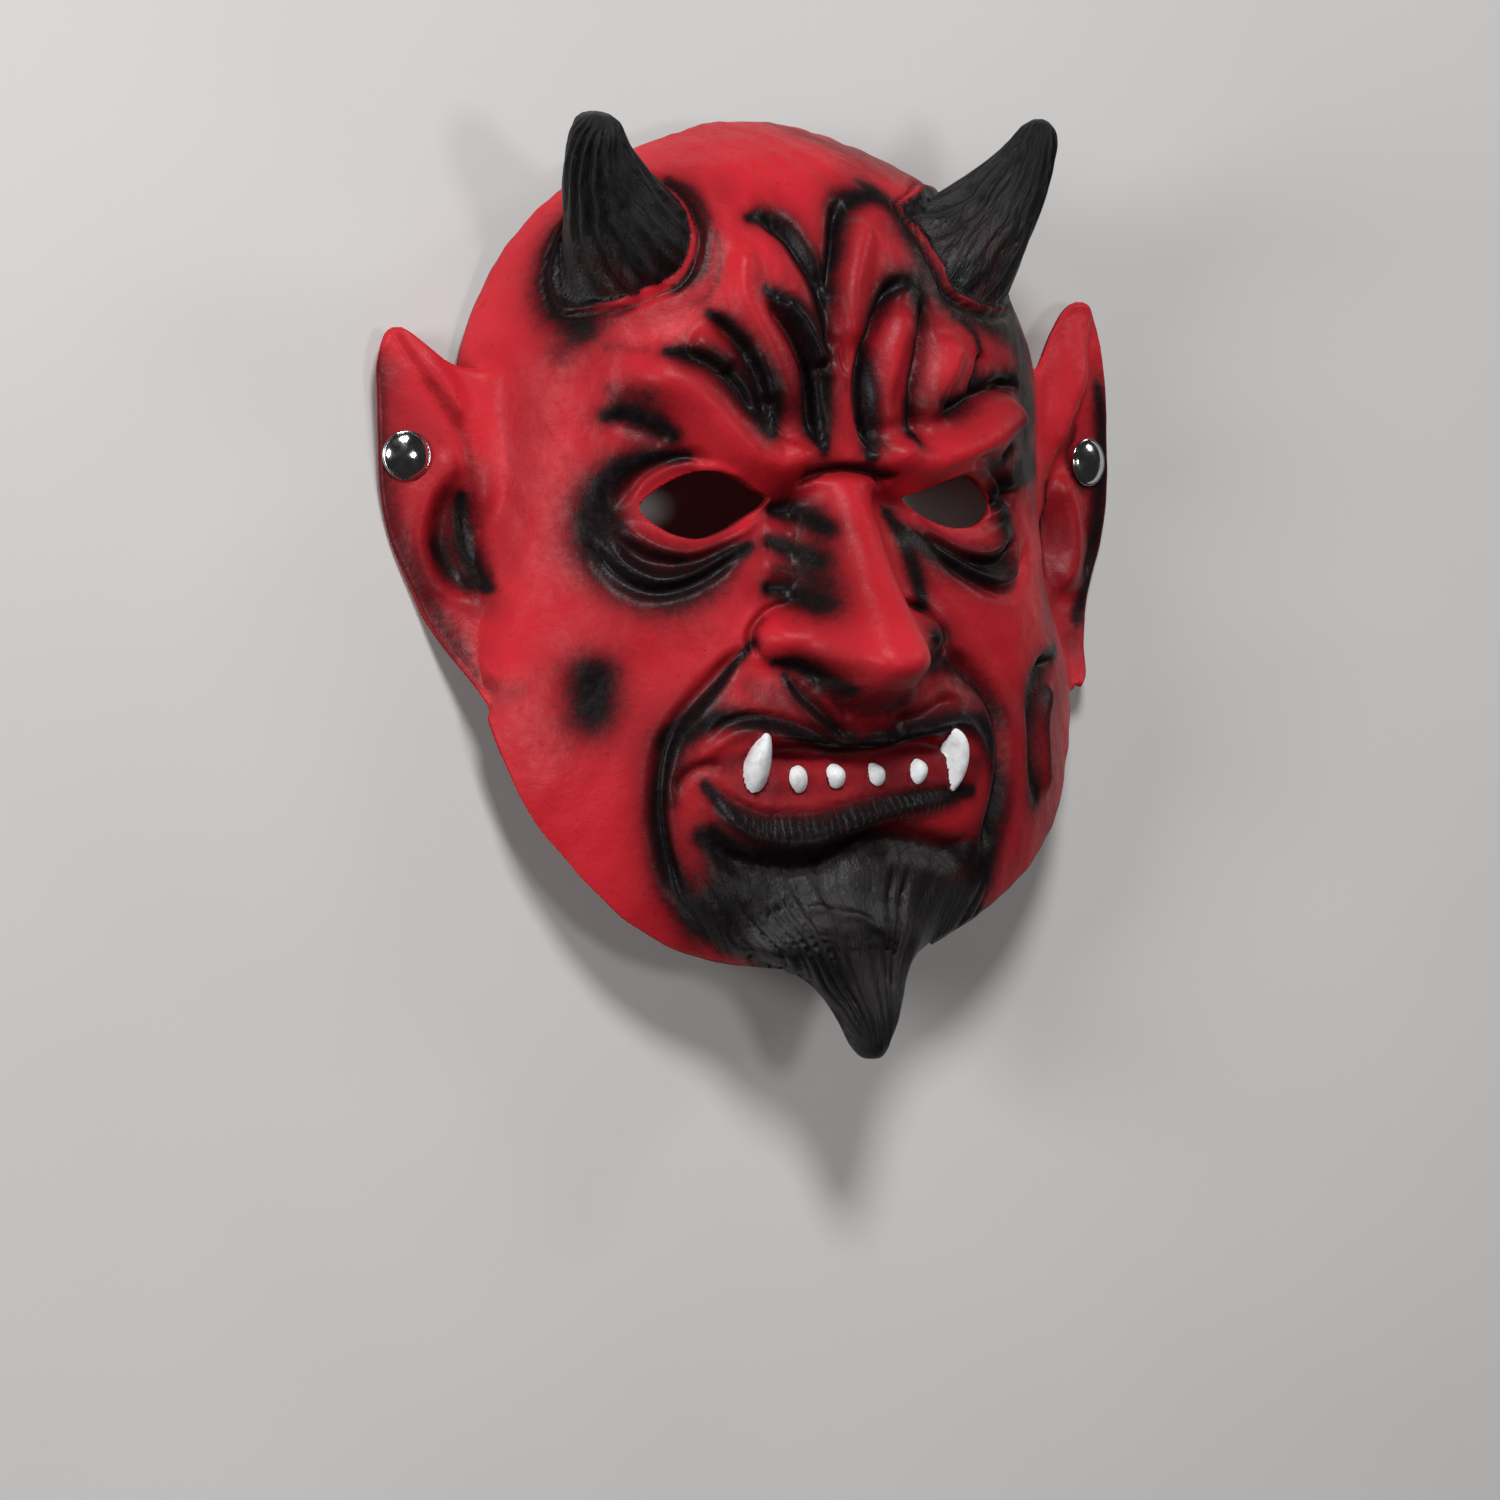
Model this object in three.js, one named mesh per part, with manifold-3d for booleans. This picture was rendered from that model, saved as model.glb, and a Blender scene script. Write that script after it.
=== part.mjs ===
// A latex devil mask: a thin moulded face with horns, pointed ears, fangs and a goatee, and a metal
// press stud through each ear for a head strap. Millimetres.
//
// The mask is worked out in its face frame: +X towards the mask's own left ear, +Y towards the
// forehead, +Z the way the face looks, with the eye line at Y = 0. At the end the whole mask is laid
// on its back on a table, face up.
//
// A point of the skin is given as (across, along): millimetres measured round and up the head from
// the point between the eyes. Every ray of the skin starts on an upright axis inside the head, and
// fans out from the axis's two ends over the forehead and under the jaw.
import * as THREE from "three";
import { mergeVertices } from "three/addons/utils/BufferGeometryUtils.js";
import Module from "manifold-3d";

const wasm = await Module();
wasm.setup();

const AXIS_Z = -20;
const AXIS_TOP = 40;
const AXIS_BOTTOM = -50;
const ACROSS_RADIUS = 85;
const ALONG_RADIUS = 80;

const SKIN_THICKNESS = 2.6;
const NARROWEST_FOLD = 4.2;
const SKIN_STEPS = 47;
const HOLLOW_STEPS = 24;
const CROWDING = 0.32;
const HOLLOW_DEPTH = 60;
const BLOCK_DEPTH = 20;
const HOLLOW_OVERHANG = 1.06;
const SECTION_SQUARENESS = 2.3;
const CROWN_ROUND = [90, 130];

// The head under the carving: along, radius at the front, radius at the side.
const HEAD_SECTIONS = [
  [-150, 120, 120],
  [-126, 118, 124],
  [-108, 111, 125],
  [-90, 98, 124],
  [-76, 90, 122],
  [-57, 81, 118],
  [-30, 77, 108],
  [0, 77, 104],
  [40, 76, 103],
  [60, 76.5, 97],
  [80, 78, 93],
  [98, 80, 89],
  [118, 82, 85],
  [165, 82, 82],
];

// The trimmed edge of the latex, from the middle of the forehead down the mask's left side to the
// chin, and up its right side. It was cut by hand, so the two sides differ.
const TRIM_EDGE = [
  [0, 150],
  [46, 147],
  [71, 139],
  [97, 119],
  [111, 98],
  [122, 70],
  [123, 44],
  [117, 0],
  [112, -35],
  [106, -56],
  [95, -74],
  [84, -86],
  [66, -99],
  [42, -110],
  [20, -118],
  [0, -122],
  [-43, -118],
  [-68, -108],
  [-87, -89.5],
  [-96, -76],
  [-107, -57],
  [-112, -35],
  [-117, 0],
  [-123, 44],
  [-122, 70],
  [-111, 98],
  [-97, 119],
  [-71, 139],
  [-46, 147],
];

const NOSE = {
  // along, height over the face, half width
  sections: [
    [-68, 0, 16],
    [-63, 3, 17],
    [-59, 12, 17],
    [-55, 28, 17.5],
    [-50, 36, 17],
    [-40, 32, 16],
    [-20, 18, 13],
    [0, 6, 10.5],
    [12, 0, 9],
  ],
  flatness: 2.2,
  inset: 1.56,
};

// Carving that is the same on both sides: [across, along, half width, half height, height].
const TWIN_MOUNDS = [
  [44, -2, 24, 11, -7],
  [20, 1, 9, 8, -6],
  [60, -34, 24, 16, 4],
  [25, -42, 9, 8, 10],
  [13, -55, 6, 3.5, -7],
];

// Carving on one side or across the middle, in the same order.
const MOUNDS = [
  [0, -64, 44, 9, 6],
  [0, -111, 40, 13, 8],
  [-78, -57, 8, 8, -3.5],
  [93, -68, 20, 16, -2.8],
];

// Where the inside stands further back, so that no furrow of the face cuts through the latex.
const INNER_HOLLOWS = [
  [0, 50, 46, 40, -6],
  [0, 10, 20, 10, -3],
  [0, -80, 52, 20, -6.5],
  [-52, -72, 16, 36, -4],
  [52, -70, 16, 36, -4],
  [72, -64, 14, 24, -4],
  [-60, -18, 28, 18, -3.5],
  [60, -18, 28, 18, -3.5],
  [0, -54, 34, 12, -6],
  [-28, -40, 10, 12, -4],
  [28, -40, 10, 12, -4],
  [-75, 76, 34, 32, -3],
  [75, 76, 34, 32, -3],
];

// Long folds and furrows: half width, height (a furrow's is negative), then the points they follow.
const TWIN_FOLDS = [
  [2.6, 2.5, [[73, -6], [65, -12], [56, -15.5], [47, -14], [37, -9], [29, -2]]],
  [2.8, -3, [[75, -8], [69, -17], [61, -20.5], [53, -19.5], [45, -16], [34, -10]]],
  [3, -3, [[81, -8], [76, -20], [68, -27.5], [60, -28.5], [52, -25.5], [40, -18]]],
  [2.6, -3, [[45, 10], [54, 13.5], [63, 11], [71, 4], [75, -4]]],
  [2.4, -4, [[20, -31], [28, -32.5], [33, -37], [35, -43], [30, -50]]],
];
const FOLDS = [
  // brow and forehead, the mask's right
  [8.5, 7, [[-78, 38], [-62, 38], [-50, 33], [-42, 24], [-33, 14], [-24, 11], [-17, 15], [-16, 22]]],
  [5.5, 4, [[-22, 22], [-23, 35], [-28, 48], [-35, 60], [-36, 72], [-30, 80]]],
  [3.8, 3, [[-54, 50], [-45, 46], [-40, 41]]],
  [4, 3, [[-25, 64], [-17, 57], [-10, 47], [-8, 42]]],
  [3.2, -4, [[-60, 45], [-51, 42.5], [-43, 37], [-38, 31], [-33, 24]]],
  [3.2, -5, [[-50, 57], [-43, 52], [-37, 46], [-33, 39], [-31, 31], [-31, 22]]],
  [3.2, -5.5, [[-30, 63], [-25, 58], [-19, 50], [-15, 42], [-13, 33], [-12, 24], [-11, 15]]],
  [4, -4.5, [[-34, 89], [-25, 89], [-18, 85], [-12, 76], [-7, 67], [-5, 58], [-5, 48], [-4, 38]]],
  // brow and forehead, the mask's left
  [8.5, 7, [[80, 30], [68, 26], [55, 20], [40, 14], [28, 11], [19, 15], [16, 24]]],
  [5, 4, [[29, 62], [22, 52], [17, 42], [15, 30], [18, 19]]],
  [6, 4, [[22, 92], [13, 82], [6, 70], [3, 58], [2, 46]]],
  [6, 4.5, [[48, 52], [42, 42], [36, 34], [31, 24]]],
  [3.5, -4, [[12, 101], [6, 92], [2, 82], [-2, 73], [-4, 64]]],
  [3.5, -5.5, [[34, 69], [25, 69], [18, 64], [13, 57], [8, 49], [6, 40], [5.5, 30], [7, 21], [12, 12]]],
  [3.2, -5, [[36, 65], [34, 56], [31, 48], [29, 40], [27, 32], [26, 24], [27, 19]]],
  [3.2, -4.5, [[80, 37], [70, 37], [60, 35], [50, 31], [42, 28.5], [35, 29.5]]],
  // over the nose, and the temples
  [2.4, -5, [[-20, 5], [-13, 8.5], [0, 9.5], [13, 8.5], [20, 5]]],
  [3, -2.5, [[-77, 25], [-68, 22], [-60, 17]]],
  [3, -3, [[78, 27], [70, 20], [63, 15]]],
  // cheeks
  [3.2, -4.5, [[-36, -43], [-43, -51], [-51, -59], [-58, -67], [-61, -77], [-61, -88], [-55, -103]]],
  [3.2, -4.5, [[35, -44], [44, -51], [52, -60], [55, -70], [54, -80], [50, -90], [44, -97]]],
  [3, -4, [[88, -48], [78, -52], [71, -61], [69, -72], [69, -84]]],
  // mouth
  [2.6, 2.5, [[-52, -76], [-46, -71], [-38, -68], [-20, -70], [0, -73], [20, -69], [38, -67], [50, -77]]],
  [3, -6, [[-44, -77], [-26, -74.5], [-10, -76], [0, -76], [12, -75.5], [24, -73], [42, -76]]],
  [4, 5, [[-33.5, -70], [-36, -85]]],
  [4, 5, [[34, -69], [32, -84]]],
  [4, 4.5, [[-47, -83], [-36, -90], [-20, -92], [0, -91], [20, -89.5], [40, -86]]],
  [3.5, -5, [[-49, -92], [-36, -97], [-20, -97.5], [0, -96], [20, -95.5], [36, -96], [44, -90]]],
];
const SMALL_TEETH = [-21, -8.5, 6, 21];
const TOOTH = { along: -81.5, halfWidth: 3.2, height: 2.5 };

const HORN_RING = { across: 75, along: 78.5, halfWidth: 20.5, halfHeight: 18.5 };
const HORN_CREASE = { reach: 1.13, width: 0.14, depth: -2.5 };
// Centre line and radius of each horn, starting inside the skin. Both are given as if they stood on
// the mask's left.
const HORNS = {
  left: [
    [49, 63, 14, 20.5],
    [54.5, 71.5, 20, 20.8],
    [60, 79.8, 26, 19.4],
    [65.3, 87.5, 29.3, 16.2],
    [70.5, 94.8, 32.2, 13.2],
    [75.3, 103, 36, 10],
    [78.2, 110.5, 39.3, 7.7],
    [79.6, 116.5, 41.9, 5.7],
    [80.1, 120, 43.2, 3.3],
    [80.2, 121.2, 43.6, 0.4],
  ],
  right: [
    [49, 63, 14, 20.5],
    [54.5, 71.5, 20, 20.8],
    [60, 79.8, 26, 19.8],
    [65.3, 87.5, 29.3, 17],
    [70.5, 94.8, 32.2, 14],
    [75.3, 103, 36, 11],
    [78, 109.6, 39, 8.7],
    [79.4, 114.6, 41.2, 7],
    [79.9, 117.6, 42.6, 4.4],
    [80, 118.8, 43, 0.4],
  ],
};
const HORN_SIDES = 14;
const HORN_RINGS = 10;
const HORN_FLUTE = 0.05;

// The goatee, which curls forward to a point: height, middle across, middle's distance in front,
// half width, half depth.
const GOATEE = [
  [-110, 0, 62, 20, 3],
  [-119, -1, 64.5, 28, 6],
  [-127, -2, 64.5, 33, 8],
  [-134, -4, 64, 34, 9.5],
  [-139, -5.5, 63.5, 30.5, 10],
  [-143, -3.5, 63.8, 23, 10],
  [-147.7, -1, 64.7, 17.2, 9.8],
  [-153, 0.4, 66.5, 13.4, 9.2],
  [-160, 0.4, 69.5, 9.9, 7.5],
  [-167, -0.1, 71.7, 6.8, 5.6],
  [-170, 0, 72.4, 4.8, 4.2],
  [-171.6, 0, 72.8, 2.8, 2.6],
  [-172, 0, 72.9, 0.5, 0.5],
];
const GOATEE_SIDES = 16;
const GOATEE_RINGS = 13;

// The ears: height, inner edge, outer edge, distance of the face in front. The two have the same
// lobe, and their tips are bent by hand.
const EAR_LOBE = [
  [-59, 104, 112, 16],
  [-54, 100, 116, 14],
  [-44, 98, 118, 10],
  [-28, 97, 123, 6],
];
const EAR_ROWS = {
  left: [
    ...EAR_LOBE,
    [-13, 96, 130, 4],
    [2, 96, 133.4, 3.5],
    [18, 96, 134, 3.2],
    [30, 94, 134, 2.8],
    [36, 95, 134, 2.4],
    [41, 100, 133.9, 1.8],
    [47.4, 105, 133.5, 0.9],
    [55.5, 110.6, 132.4, -0.2],
    [60, 114.3, 131.2, -0.8],
    [63, 117.4, 129.8, -1.1],
    [65, 120.6, 127.6, -1.3],
    [65.8, 123, 125.8, -1.4],
  ],
  right: [
    ...EAR_LOBE,
    [-13, 96, 128.2, 4],
    [2, 96, 131, 3.5],
    [18, 96, 131.6, 3.2],
    [30, 96, 131.6, 2.8],
    [37, 97, 131.5, 2],
    [40.5, 104.5, 131.2, 1.4],
    [43, 111, 130.7, 0.9],
    [46.4, 115.2, 129.8, 0.2],
    [50, 119, 128.5, -0.6],
    [52.2, 121.6, 127.2, -1],
    [53.6, 123.8, 125.6, -1.2],
  ],
};
const EAR_THICKNESS = 3.2;
const EAR_LEAN = -0.28;
const EAR_MIDDLE = 114;
const EAR_STEPS_ACROSS = 9;
const EAR_STEPS_UP = 20;
const EAR_RIM = { width: 5, height: 5.5 };
const EAR_FOLDS = [
  [6, 5, [[122, 56], [117, 34], [110, 19], [105, 5]]],
  [4.5, 4, [[108, 8], [117, 2], [122, -10], [118, -24], [108, -32]]],
];
const EAR_PIT = [105, -10, 8, 15, -6.5];
const EAR_HEEL = [118, -31, 10, 12, -3];
const EAR_BACK_RELIEF = { raised: 0.6, sunk: 0.8 };

// The eye openings, seen from the front.
const EYE_OPENINGS = [
  [
    [24, 1], [32, -4], [42, -7.5], [50, -8], [57, -6.5], [61.5, -2.5], [60.5, 2], [54, 6.8], [46, 8.7],
    [38, 6.8], [30, 3.5],
  ],
  [
    [-23, 0.5], [-31, -5], [-39, -9.5], [-47, -11.8], [-55, -10.5], [-62, -6], [-64.5, -2], [-61, 2.5],
    [-53, 7.5], [-45, 9.3], [-37, 7.5], [-29, 3.5],
  ],
];
const EYE_CUT_FROM = 10;
const EYE_CUT_LENGTH = 70;

const STUD = {
  x: 123.8,
  y: 14,
  seat: 8.1,
  press: 1.7,
  capRadius: 7.7,
  capHeight: 3,
  lip: 0.8,
  ease: 0.6,
  postRadius: 1.8,
  postEnd: 1.6,
  gap: 0.3,
};
// The dome of the cap: share of its radius, share of its height.
const STUD_DOME = [
  [0.8, 0.72],
  [0.45, 0.94],
  [0, 1],
];
// The socket: radius, distance behind its front.
const STUD_SOCKET = [
  [5.2, 1.8],
  [5.9, 1.4],
  [6.1, 0.4],
  [5.7, 0],
];
const SOCKET_BEHIND = 0.6;
const SOCKET_DEPTH = 1.8;
const CUT_REACH = 12;
const CUT_CLEAR = 0.05;

const TRIM_STEPS = 360;
const EYE_STEPS = 28;
const SHORTEST_DETAIL = 0.05;

// The lying mask balances on its ears, with the forehead and the chin both off the table.
const REST_LEAN = 9.45;

const RED = new THREE.MeshStandardMaterial({ color: 0xb0121c, roughness: 0.55, metalness: 0 });
const STEEL = new THREE.MeshStandardMaterial({ color: 0xb8babd, roughness: 0.15, metalness: 1 });

const { clamp, degToRad, smoothstep } = THREE.MathUtils;
const bell = (x, power = 2) => Math.exp(-(Math.abs(x) ** power));

// A column of a table read smoothly at a value of its first column.
function readTable(rows, value, column) {
  const last = rows.length - 1;
  const rising = rows[last][0] > rows[0][0];
  let i = 0;
  while (i < last - 1 && (rising ? value > rows[i + 1][0] : value < rows[i + 1][0])) i++;
  const [x0, x1] = [rows[i][0], rows[i + 1][0]];
  const [y0, y1] = [rows[i][column], rows[i + 1][column]];
  const slope = (a, b) => (rows[b][column] - rows[a][column]) / (rows[b][0] - rows[a][0]);
  const m0 = i > 0 ? slope(i - 1, i + 1) : slope(i, i + 1);
  const m1 = i < last - 1 ? slope(i, i + 2) : slope(i, i + 1);
  const t = clamp((value - x0) / (x1 - x0), 0, 1);
  const run = x1 - x0;
  return (
    y0 * (1 + 2 * t) * (1 - t) ** 2 +
    run * m0 * t * (1 - t) ** 2 +
    y1 * t * t * (3 - 2 * t) +
    run * m1 * t * t * (t - 1)
  );
}

function mound(x, y, [cx, cy, halfWidth, halfHeight, height]) {
  return height * Math.exp(-(((x - cx) / halfWidth) ** 2) - ((y - cy) / halfHeight) ** 2);
}

const FOLD_SAMPLES = 5;
const FOLD_TAPER = 0.18;
const FOLD_END_WIDTH = 0.55;
const FOLD_REACH = 3;

const flatPoint = ([x, y]) => new THREE.Vector3(x, y, 0);

// A fold's points, smoothed.
function smoothLine(points) {
  const curve = new THREE.CatmullRomCurve3(points.map(flatPoint), false, "catmullrom");
  return curve.getPoints((points.length - 1) * FOLD_SAMPLES);
}

function prepareFolds(folds, mirror = 1) {
  return folds.map(([width, height, points]) => {
    const line = smoothLine(points.map(([x, y]) => [x * mirror, y]));
    const box = new THREE.Box2().setFromPoints(line).expandByScalar(width * FOLD_REACH);
    return { width: Math.max(width, NARROWEST_FOLD), height, line, box };
  });
}

// The height of one fold at a point: full along its line, and tapering at both ends.
function foldHeight(x, y, { width, height, line, box }) {
  if (x < box.min.x || x > box.max.x || y < box.min.y || y > box.max.y) return 0;
  let nearest = Infinity;
  let share = 0;
  for (let i = 0; i < line.length - 1; i++) {
    const [a, b] = [line[i], line[i + 1]];
    const [dx, dy] = [b.x - a.x, b.y - a.y];
    const t = clamp(((x - a.x) * dx + (y - a.y) * dy) / (dx * dx + dy * dy), 0, 1);
    const distance = Math.hypot(x - a.x - t * dx, y - a.y - t * dy);
    if (distance < nearest) {
      nearest = distance;
      share = (i + t) / (line.length - 1);
    }
  }
  const taper = smoothstep(share, 0, FOLD_TAPER) * smoothstep(1 - share, 0, FOLD_TAPER);
  const narrowed = width * THREE.MathUtils.lerp(FOLD_END_WIDTH, 1, taper);
  return height * taper * bell(nearest / narrowed);
}

const skinFolds = [
  ...prepareFolds(FOLDS),
  ...prepareFolds(TWIN_FOLDS),
  ...prepareFolds(TWIN_FOLDS, -1),
];
const earFolds = prepareFolds(EAR_FOLDS);

function noseHeight(across, along, inset) {
  const height = readTable(NOSE.sections, along, 1);
  const width = readTable(NOSE.sections, along, 2) - inset;
  return Math.max(0, height) * bell(across / width, NOSE.flatness);
}

// The crease round the foot of a horn.
function hornCrease(across, along) {
  const x = (Math.abs(across) - HORN_RING.across) / HORN_RING.halfWidth;
  const y = (along - HORN_RING.along) / HORN_RING.halfHeight;
  return HORN_CREASE.depth * bell((Math.hypot(x, y) - HORN_CREASE.reach) / HORN_CREASE.width);
}

// How far the carving stands over the plain head. The inside follows the large forms only.
function carving(across, along, inside) {
  let height = noseHeight(across, along, inside ? NOSE.inset : 0);
  for (const each of TWIN_MOUNDS) height += mound(Math.abs(across), along, each);
  for (const each of MOUNDS) height += mound(across, along, each);
  if (inside) {
    for (const each of INNER_HOLLOWS) height += mound(across, along, each);
    return height;
  }
  for (const each of skinFolds) height += foldHeight(across, along, each);
  for (const x of SMALL_TEETH)
    height += mound(across, along, [x, TOOTH.along, TOOTH.halfWidth, TOOTH.halfWidth, TOOTH.height]);
  return height + hornCrease(across, along);
}

function headRadius(across, along) {
  const turn = across / ACROSS_RADIUS;
  const front = readTable(HEAD_SECTIONS, along, 1);
  const side = readTable(HEAD_SECTIONS, along, 2);
  const power = THREE.MathUtils.lerp(SECTION_SQUARENESS, 2, smoothstep(along, ...CROWN_ROUND));
  const sum = Math.abs(Math.sin(turn) / side) ** power + Math.abs(Math.cos(turn) / front) ** power;
  return sum ** (-1 / power);
}

// The point of the face frame at a distance out along the ray of (across, along).
function onRay(across, along, radius) {
  const turn = across / ACROSS_RADIUS;
  const start = clamp(along, AXIS_BOTTOM, AXIS_TOP);
  const rise = (along - start) / ALONG_RADIUS;
  return new THREE.Vector3(
    radius * Math.sin(turn) * Math.cos(rise),
    start + radius * Math.sin(rise),
    AXIS_Z + radius * Math.cos(turn) * Math.cos(rise),
  );
}

// The trim edge as an outline that is read by its angle from the middle.
const trimOutline = new THREE.CatmullRomCurve3(TRIM_EDGE.map(flatPoint), true)
  .getPoints(TRIM_STEPS)
  .map((p) => [Math.atan2(p.x, p.y), p.length()])
  .sort((a, b) => a[0] - b[0]);

function trimReach(angle) {
  const i = trimOutline.findIndex(([a]) => a > angle);
  if (i <= 0) return trimOutline[0][1];
  const [[a0, r0], [a1, r1]] = [trimOutline[i - 1], trimOutline[i]];
  return r0 + ((r1 - r0) * (angle - a0)) / (a1 - a0);
}

// A square of -1 to 1 spread over the area inside the trim edge, in rings round its middle.
function insideTrim(u, v, overhang) {
  const ring = Math.max(Math.abs(u), Math.abs(v));
  if (ring < 1e-9) return [0, 0];
  const round = Math.hypot(u * Math.sqrt(1 - (v * v) / 2), v * Math.sqrt(1 - (u * u) / 2));
  const angle = Math.atan2(u * Math.sqrt(1 - (v * v) / 2), v * Math.sqrt(1 - (u * u) / 2));
  const crowded = round * (1 - CROWDING + CROWDING * round);
  const reach = trimReach(angle) * crowded * overhang;
  return [reach * Math.sin(angle), reach * Math.cos(angle)];
}

// A box whose front and back faces are bent by a function, and whose sides join them. Each cell is
// split along the diagonal that lies closer to the bent face.
function bentSlab(stepsAcross, stepsUp, place) {
  const box = new THREE.BoxGeometry(2, 2, 2, stepsAcross, stepsUp, 1);
  const at = box.getAttribute("position");
  const pointOf = (_, i) => new THREE.Vector3().fromBufferAttribute(at, i);
  const flat = Array.from({ length: at.count }, pointOf);
  const bent = flat.map((p) => place(p.x, p.y, p.z > 0));
  bent.forEach((p, i) => at.setXYZ(i, p.x, p.y, p.z));
  const index = box.getIndex().array;
  for (let i = 0; i < index.length; i += 6) {
    const [a, b, d, , c] = index.slice(i, i + 6);
    const middle = flat[b].clone().lerp(flat[d], 0.5);
    if (Math.abs(middle.z) < 1) continue;
    const onFace = place(middle.x, middle.y, middle.z > 0);
    const offAC = bent[a].clone().lerp(bent[c], 0.5).distanceTo(onFace);
    const offBD = bent[b].clone().lerp(bent[d], 0.5).distanceTo(onFace);
    if (offAC < offBD) [a, b, c, a, c, d].forEach((corner, k) => (index[i + k] = corner));
  }
  return box;
}

function faceBlock() {
  return bentSlab(SKIN_STEPS, SKIN_STEPS, (u, v, front) => {
    const [across, along] = insideTrim(u, v, 1);
    const radius = headRadius(across, along);
    const out = front ? carving(across, along, false) : -BLOCK_DEPTH;
    return onRay(across, along, radius + out);
  });
}

function hollowBlock() {
  return bentSlab(HOLLOW_STEPS, HOLLOW_STEPS, (u, v, front) => {
    const [across, along] = insideTrim(u, v, HOLLOW_OVERHANG);
    const radius = headRadius(across, along) - SKIN_THICKNESS;
    return onRay(across, along, radius + (front ? carving(across, along, true) : -HOLLOW_DEPTH));
  });
}

// A closed skin of rings round a line of [x, y, z] centres, each ring given by a function.
function ringedSolid(rings, sides, ringPoint) {
  const tube = new THREE.CylinderGeometry(1, 1, 1, sides, rings - 1, false);
  const at = tube.getAttribute("position");
  for (let i = 0; i < at.count; i++) {
    const share = 0.5 - at.getY(i);
    const angle = Math.atan2(at.getX(i), at.getZ(i));
    const out = Math.min(1, Math.hypot(at.getX(i), at.getZ(i)));
    const p = ringPoint(share, angle, out);
    at.setXYZ(i, p.x, p.y, p.z);
  }
  return tube;
}

function horn(side) {
  const rows = HORNS[side];
  const line = new THREE.CatmullRomCurve3(rows.map(([x, y, z]) => new THREE.Vector3(x, y, z)));
  const radii = rows.map(([, , , r], i) => [i / (rows.length - 1), r]);
  const up = new THREE.Vector3(0, 1, 0);
  return ringedSolid(HORN_RINGS, HORN_SIDES, (share, angle, out) => {
    const centre = line.getPoint(share);
    const ahead = line.getTangent(share);
    const across = new THREE.Vector3().crossVectors(up, ahead).normalize();
    const over = new THREE.Vector3().crossVectors(ahead, across);
    const flute = 1 + HORN_FLUTE * Math.cos((angle * HORN_SIDES) / 2);
    const radius = readTable(radii, share, 1) * flute * out;
    return centre
      .addScaledVector(across, radius * Math.sin(angle))
      .addScaledVector(over, radius * Math.cos(angle));
  });
}

function goatee() {
  const last = GOATEE.length - 1;
  const rows = GOATEE.map((row, i) => [i / last, ...row]);
  return ringedSolid(GOATEE_RINGS, GOATEE_SIDES, (share, angle, out) => {
    const columns = [1, 2, 3, 4, 5].map((column) => readTable(rows, share, column));
    const [height, x, z, width, depth] = columns;
    const [across, ahead] = [width * out * Math.sin(angle), depth * out * Math.cos(angle)];
    return new THREE.Vector3(x + across, height, z + ahead);
  });
}

function earPlane(x, y, rows) {
  return readTable(rows, y, 3) + EAR_LEAN * (x - EAR_MIDDLE);
}

function earRelief(x, y, rows) {
  const outer = readTable(rows, y, 2);
  let relief = EAR_RIM.height * smoothstep(x, outer - EAR_RIM.width, outer) + mound(x, y, EAR_PIT);
  for (const each of earFolds) relief += foldHeight(x, y, each);
  return relief;
}

// Both sides of the ear are pressed flat where the stud holds it.
function pressedFlat(x, y, z, below) {
  const plane = earPlane(x, STUD.y, EAR_ROWS.left) - below;
  const fromStud = Math.hypot(x - STUD.x, y - STUD.y);
  return THREE.MathUtils.lerp(plane, z, smoothstep(fromStud, STUD.seat, STUD.seat + STUD.press));
}

function earFront(x, y, rows) {
  return pressedFlat(x, y, earPlane(x, y, rows) + earRelief(x, y, rows), 0);
}

// The back follows the front less deeply, with a thick heel that the lying mask rests on.
function earBack(x, y, rows) {
  const relief = earRelief(x, y, rows);
  const share = relief > 0 ? EAR_BACK_RELIEF.raised : EAR_BACK_RELIEF.sunk;
  const z = earPlane(x, y, rows) + share * relief + mound(x, y, EAR_HEEL) - EAR_THICKNESS;
  return pressedFlat(x, y, z, EAR_THICKNESS);
}

function ear(side) {
  const rows = EAR_ROWS[side];
  const [low, high] = [rows[0][0], rows.at(-1)[0]];
  return bentSlab(EAR_STEPS_ACROSS, EAR_STEPS_UP, (u, v, front) => {
    const y = low + ((high - low) * (v + 1)) / 2;
    const [inner, outer] = [readTable(rows, y, 1), readTable(rows, y, 2)];
    const x = inner + ((outer - inner) * (u + 1)) / 2;
    return new THREE.Vector3(x, y, front ? earFront(x, y, rows) : earBack(x, y, rows));
  });
}

function eyeCut(opening) {
  const corners = [...opening, opening[0]].map(([x, y]) => new THREE.Vector2(x, y));
  const shape = new THREE.Shape(new THREE.SplineCurve(corners).getPoints(EYE_STEPS).slice(0, -1));
  const cut = new THREE.ExtrudeGeometry(shape, { depth: EYE_CUT_LENGTH, bevelEnabled: false });
  return cut.translate(0, 0, EYE_CUT_FROM);
}

// Turns a stud's parts, made round the Y axis with the ear's face at Y = 0, to their place on the
// left ear.
function atStud(geometry) {
  const front = earPlane(STUD.x, STUD.y, EAR_ROWS.left);
  const turn = new THREE.Euler(Math.PI / 2, Math.atan(-EAR_LEAN), 0, "YXZ");
  return geometry.applyMatrix4(
    new THREE.Matrix4().makeRotationFromEuler(turn).setPosition(STUD.x, STUD.y, front),
  );
}

function revolve(profile, sides = 15) {
  return new THREE.LatheGeometry(profile.map(([r, y]) => new THREE.Vector2(r, y)), sides);
}

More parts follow.
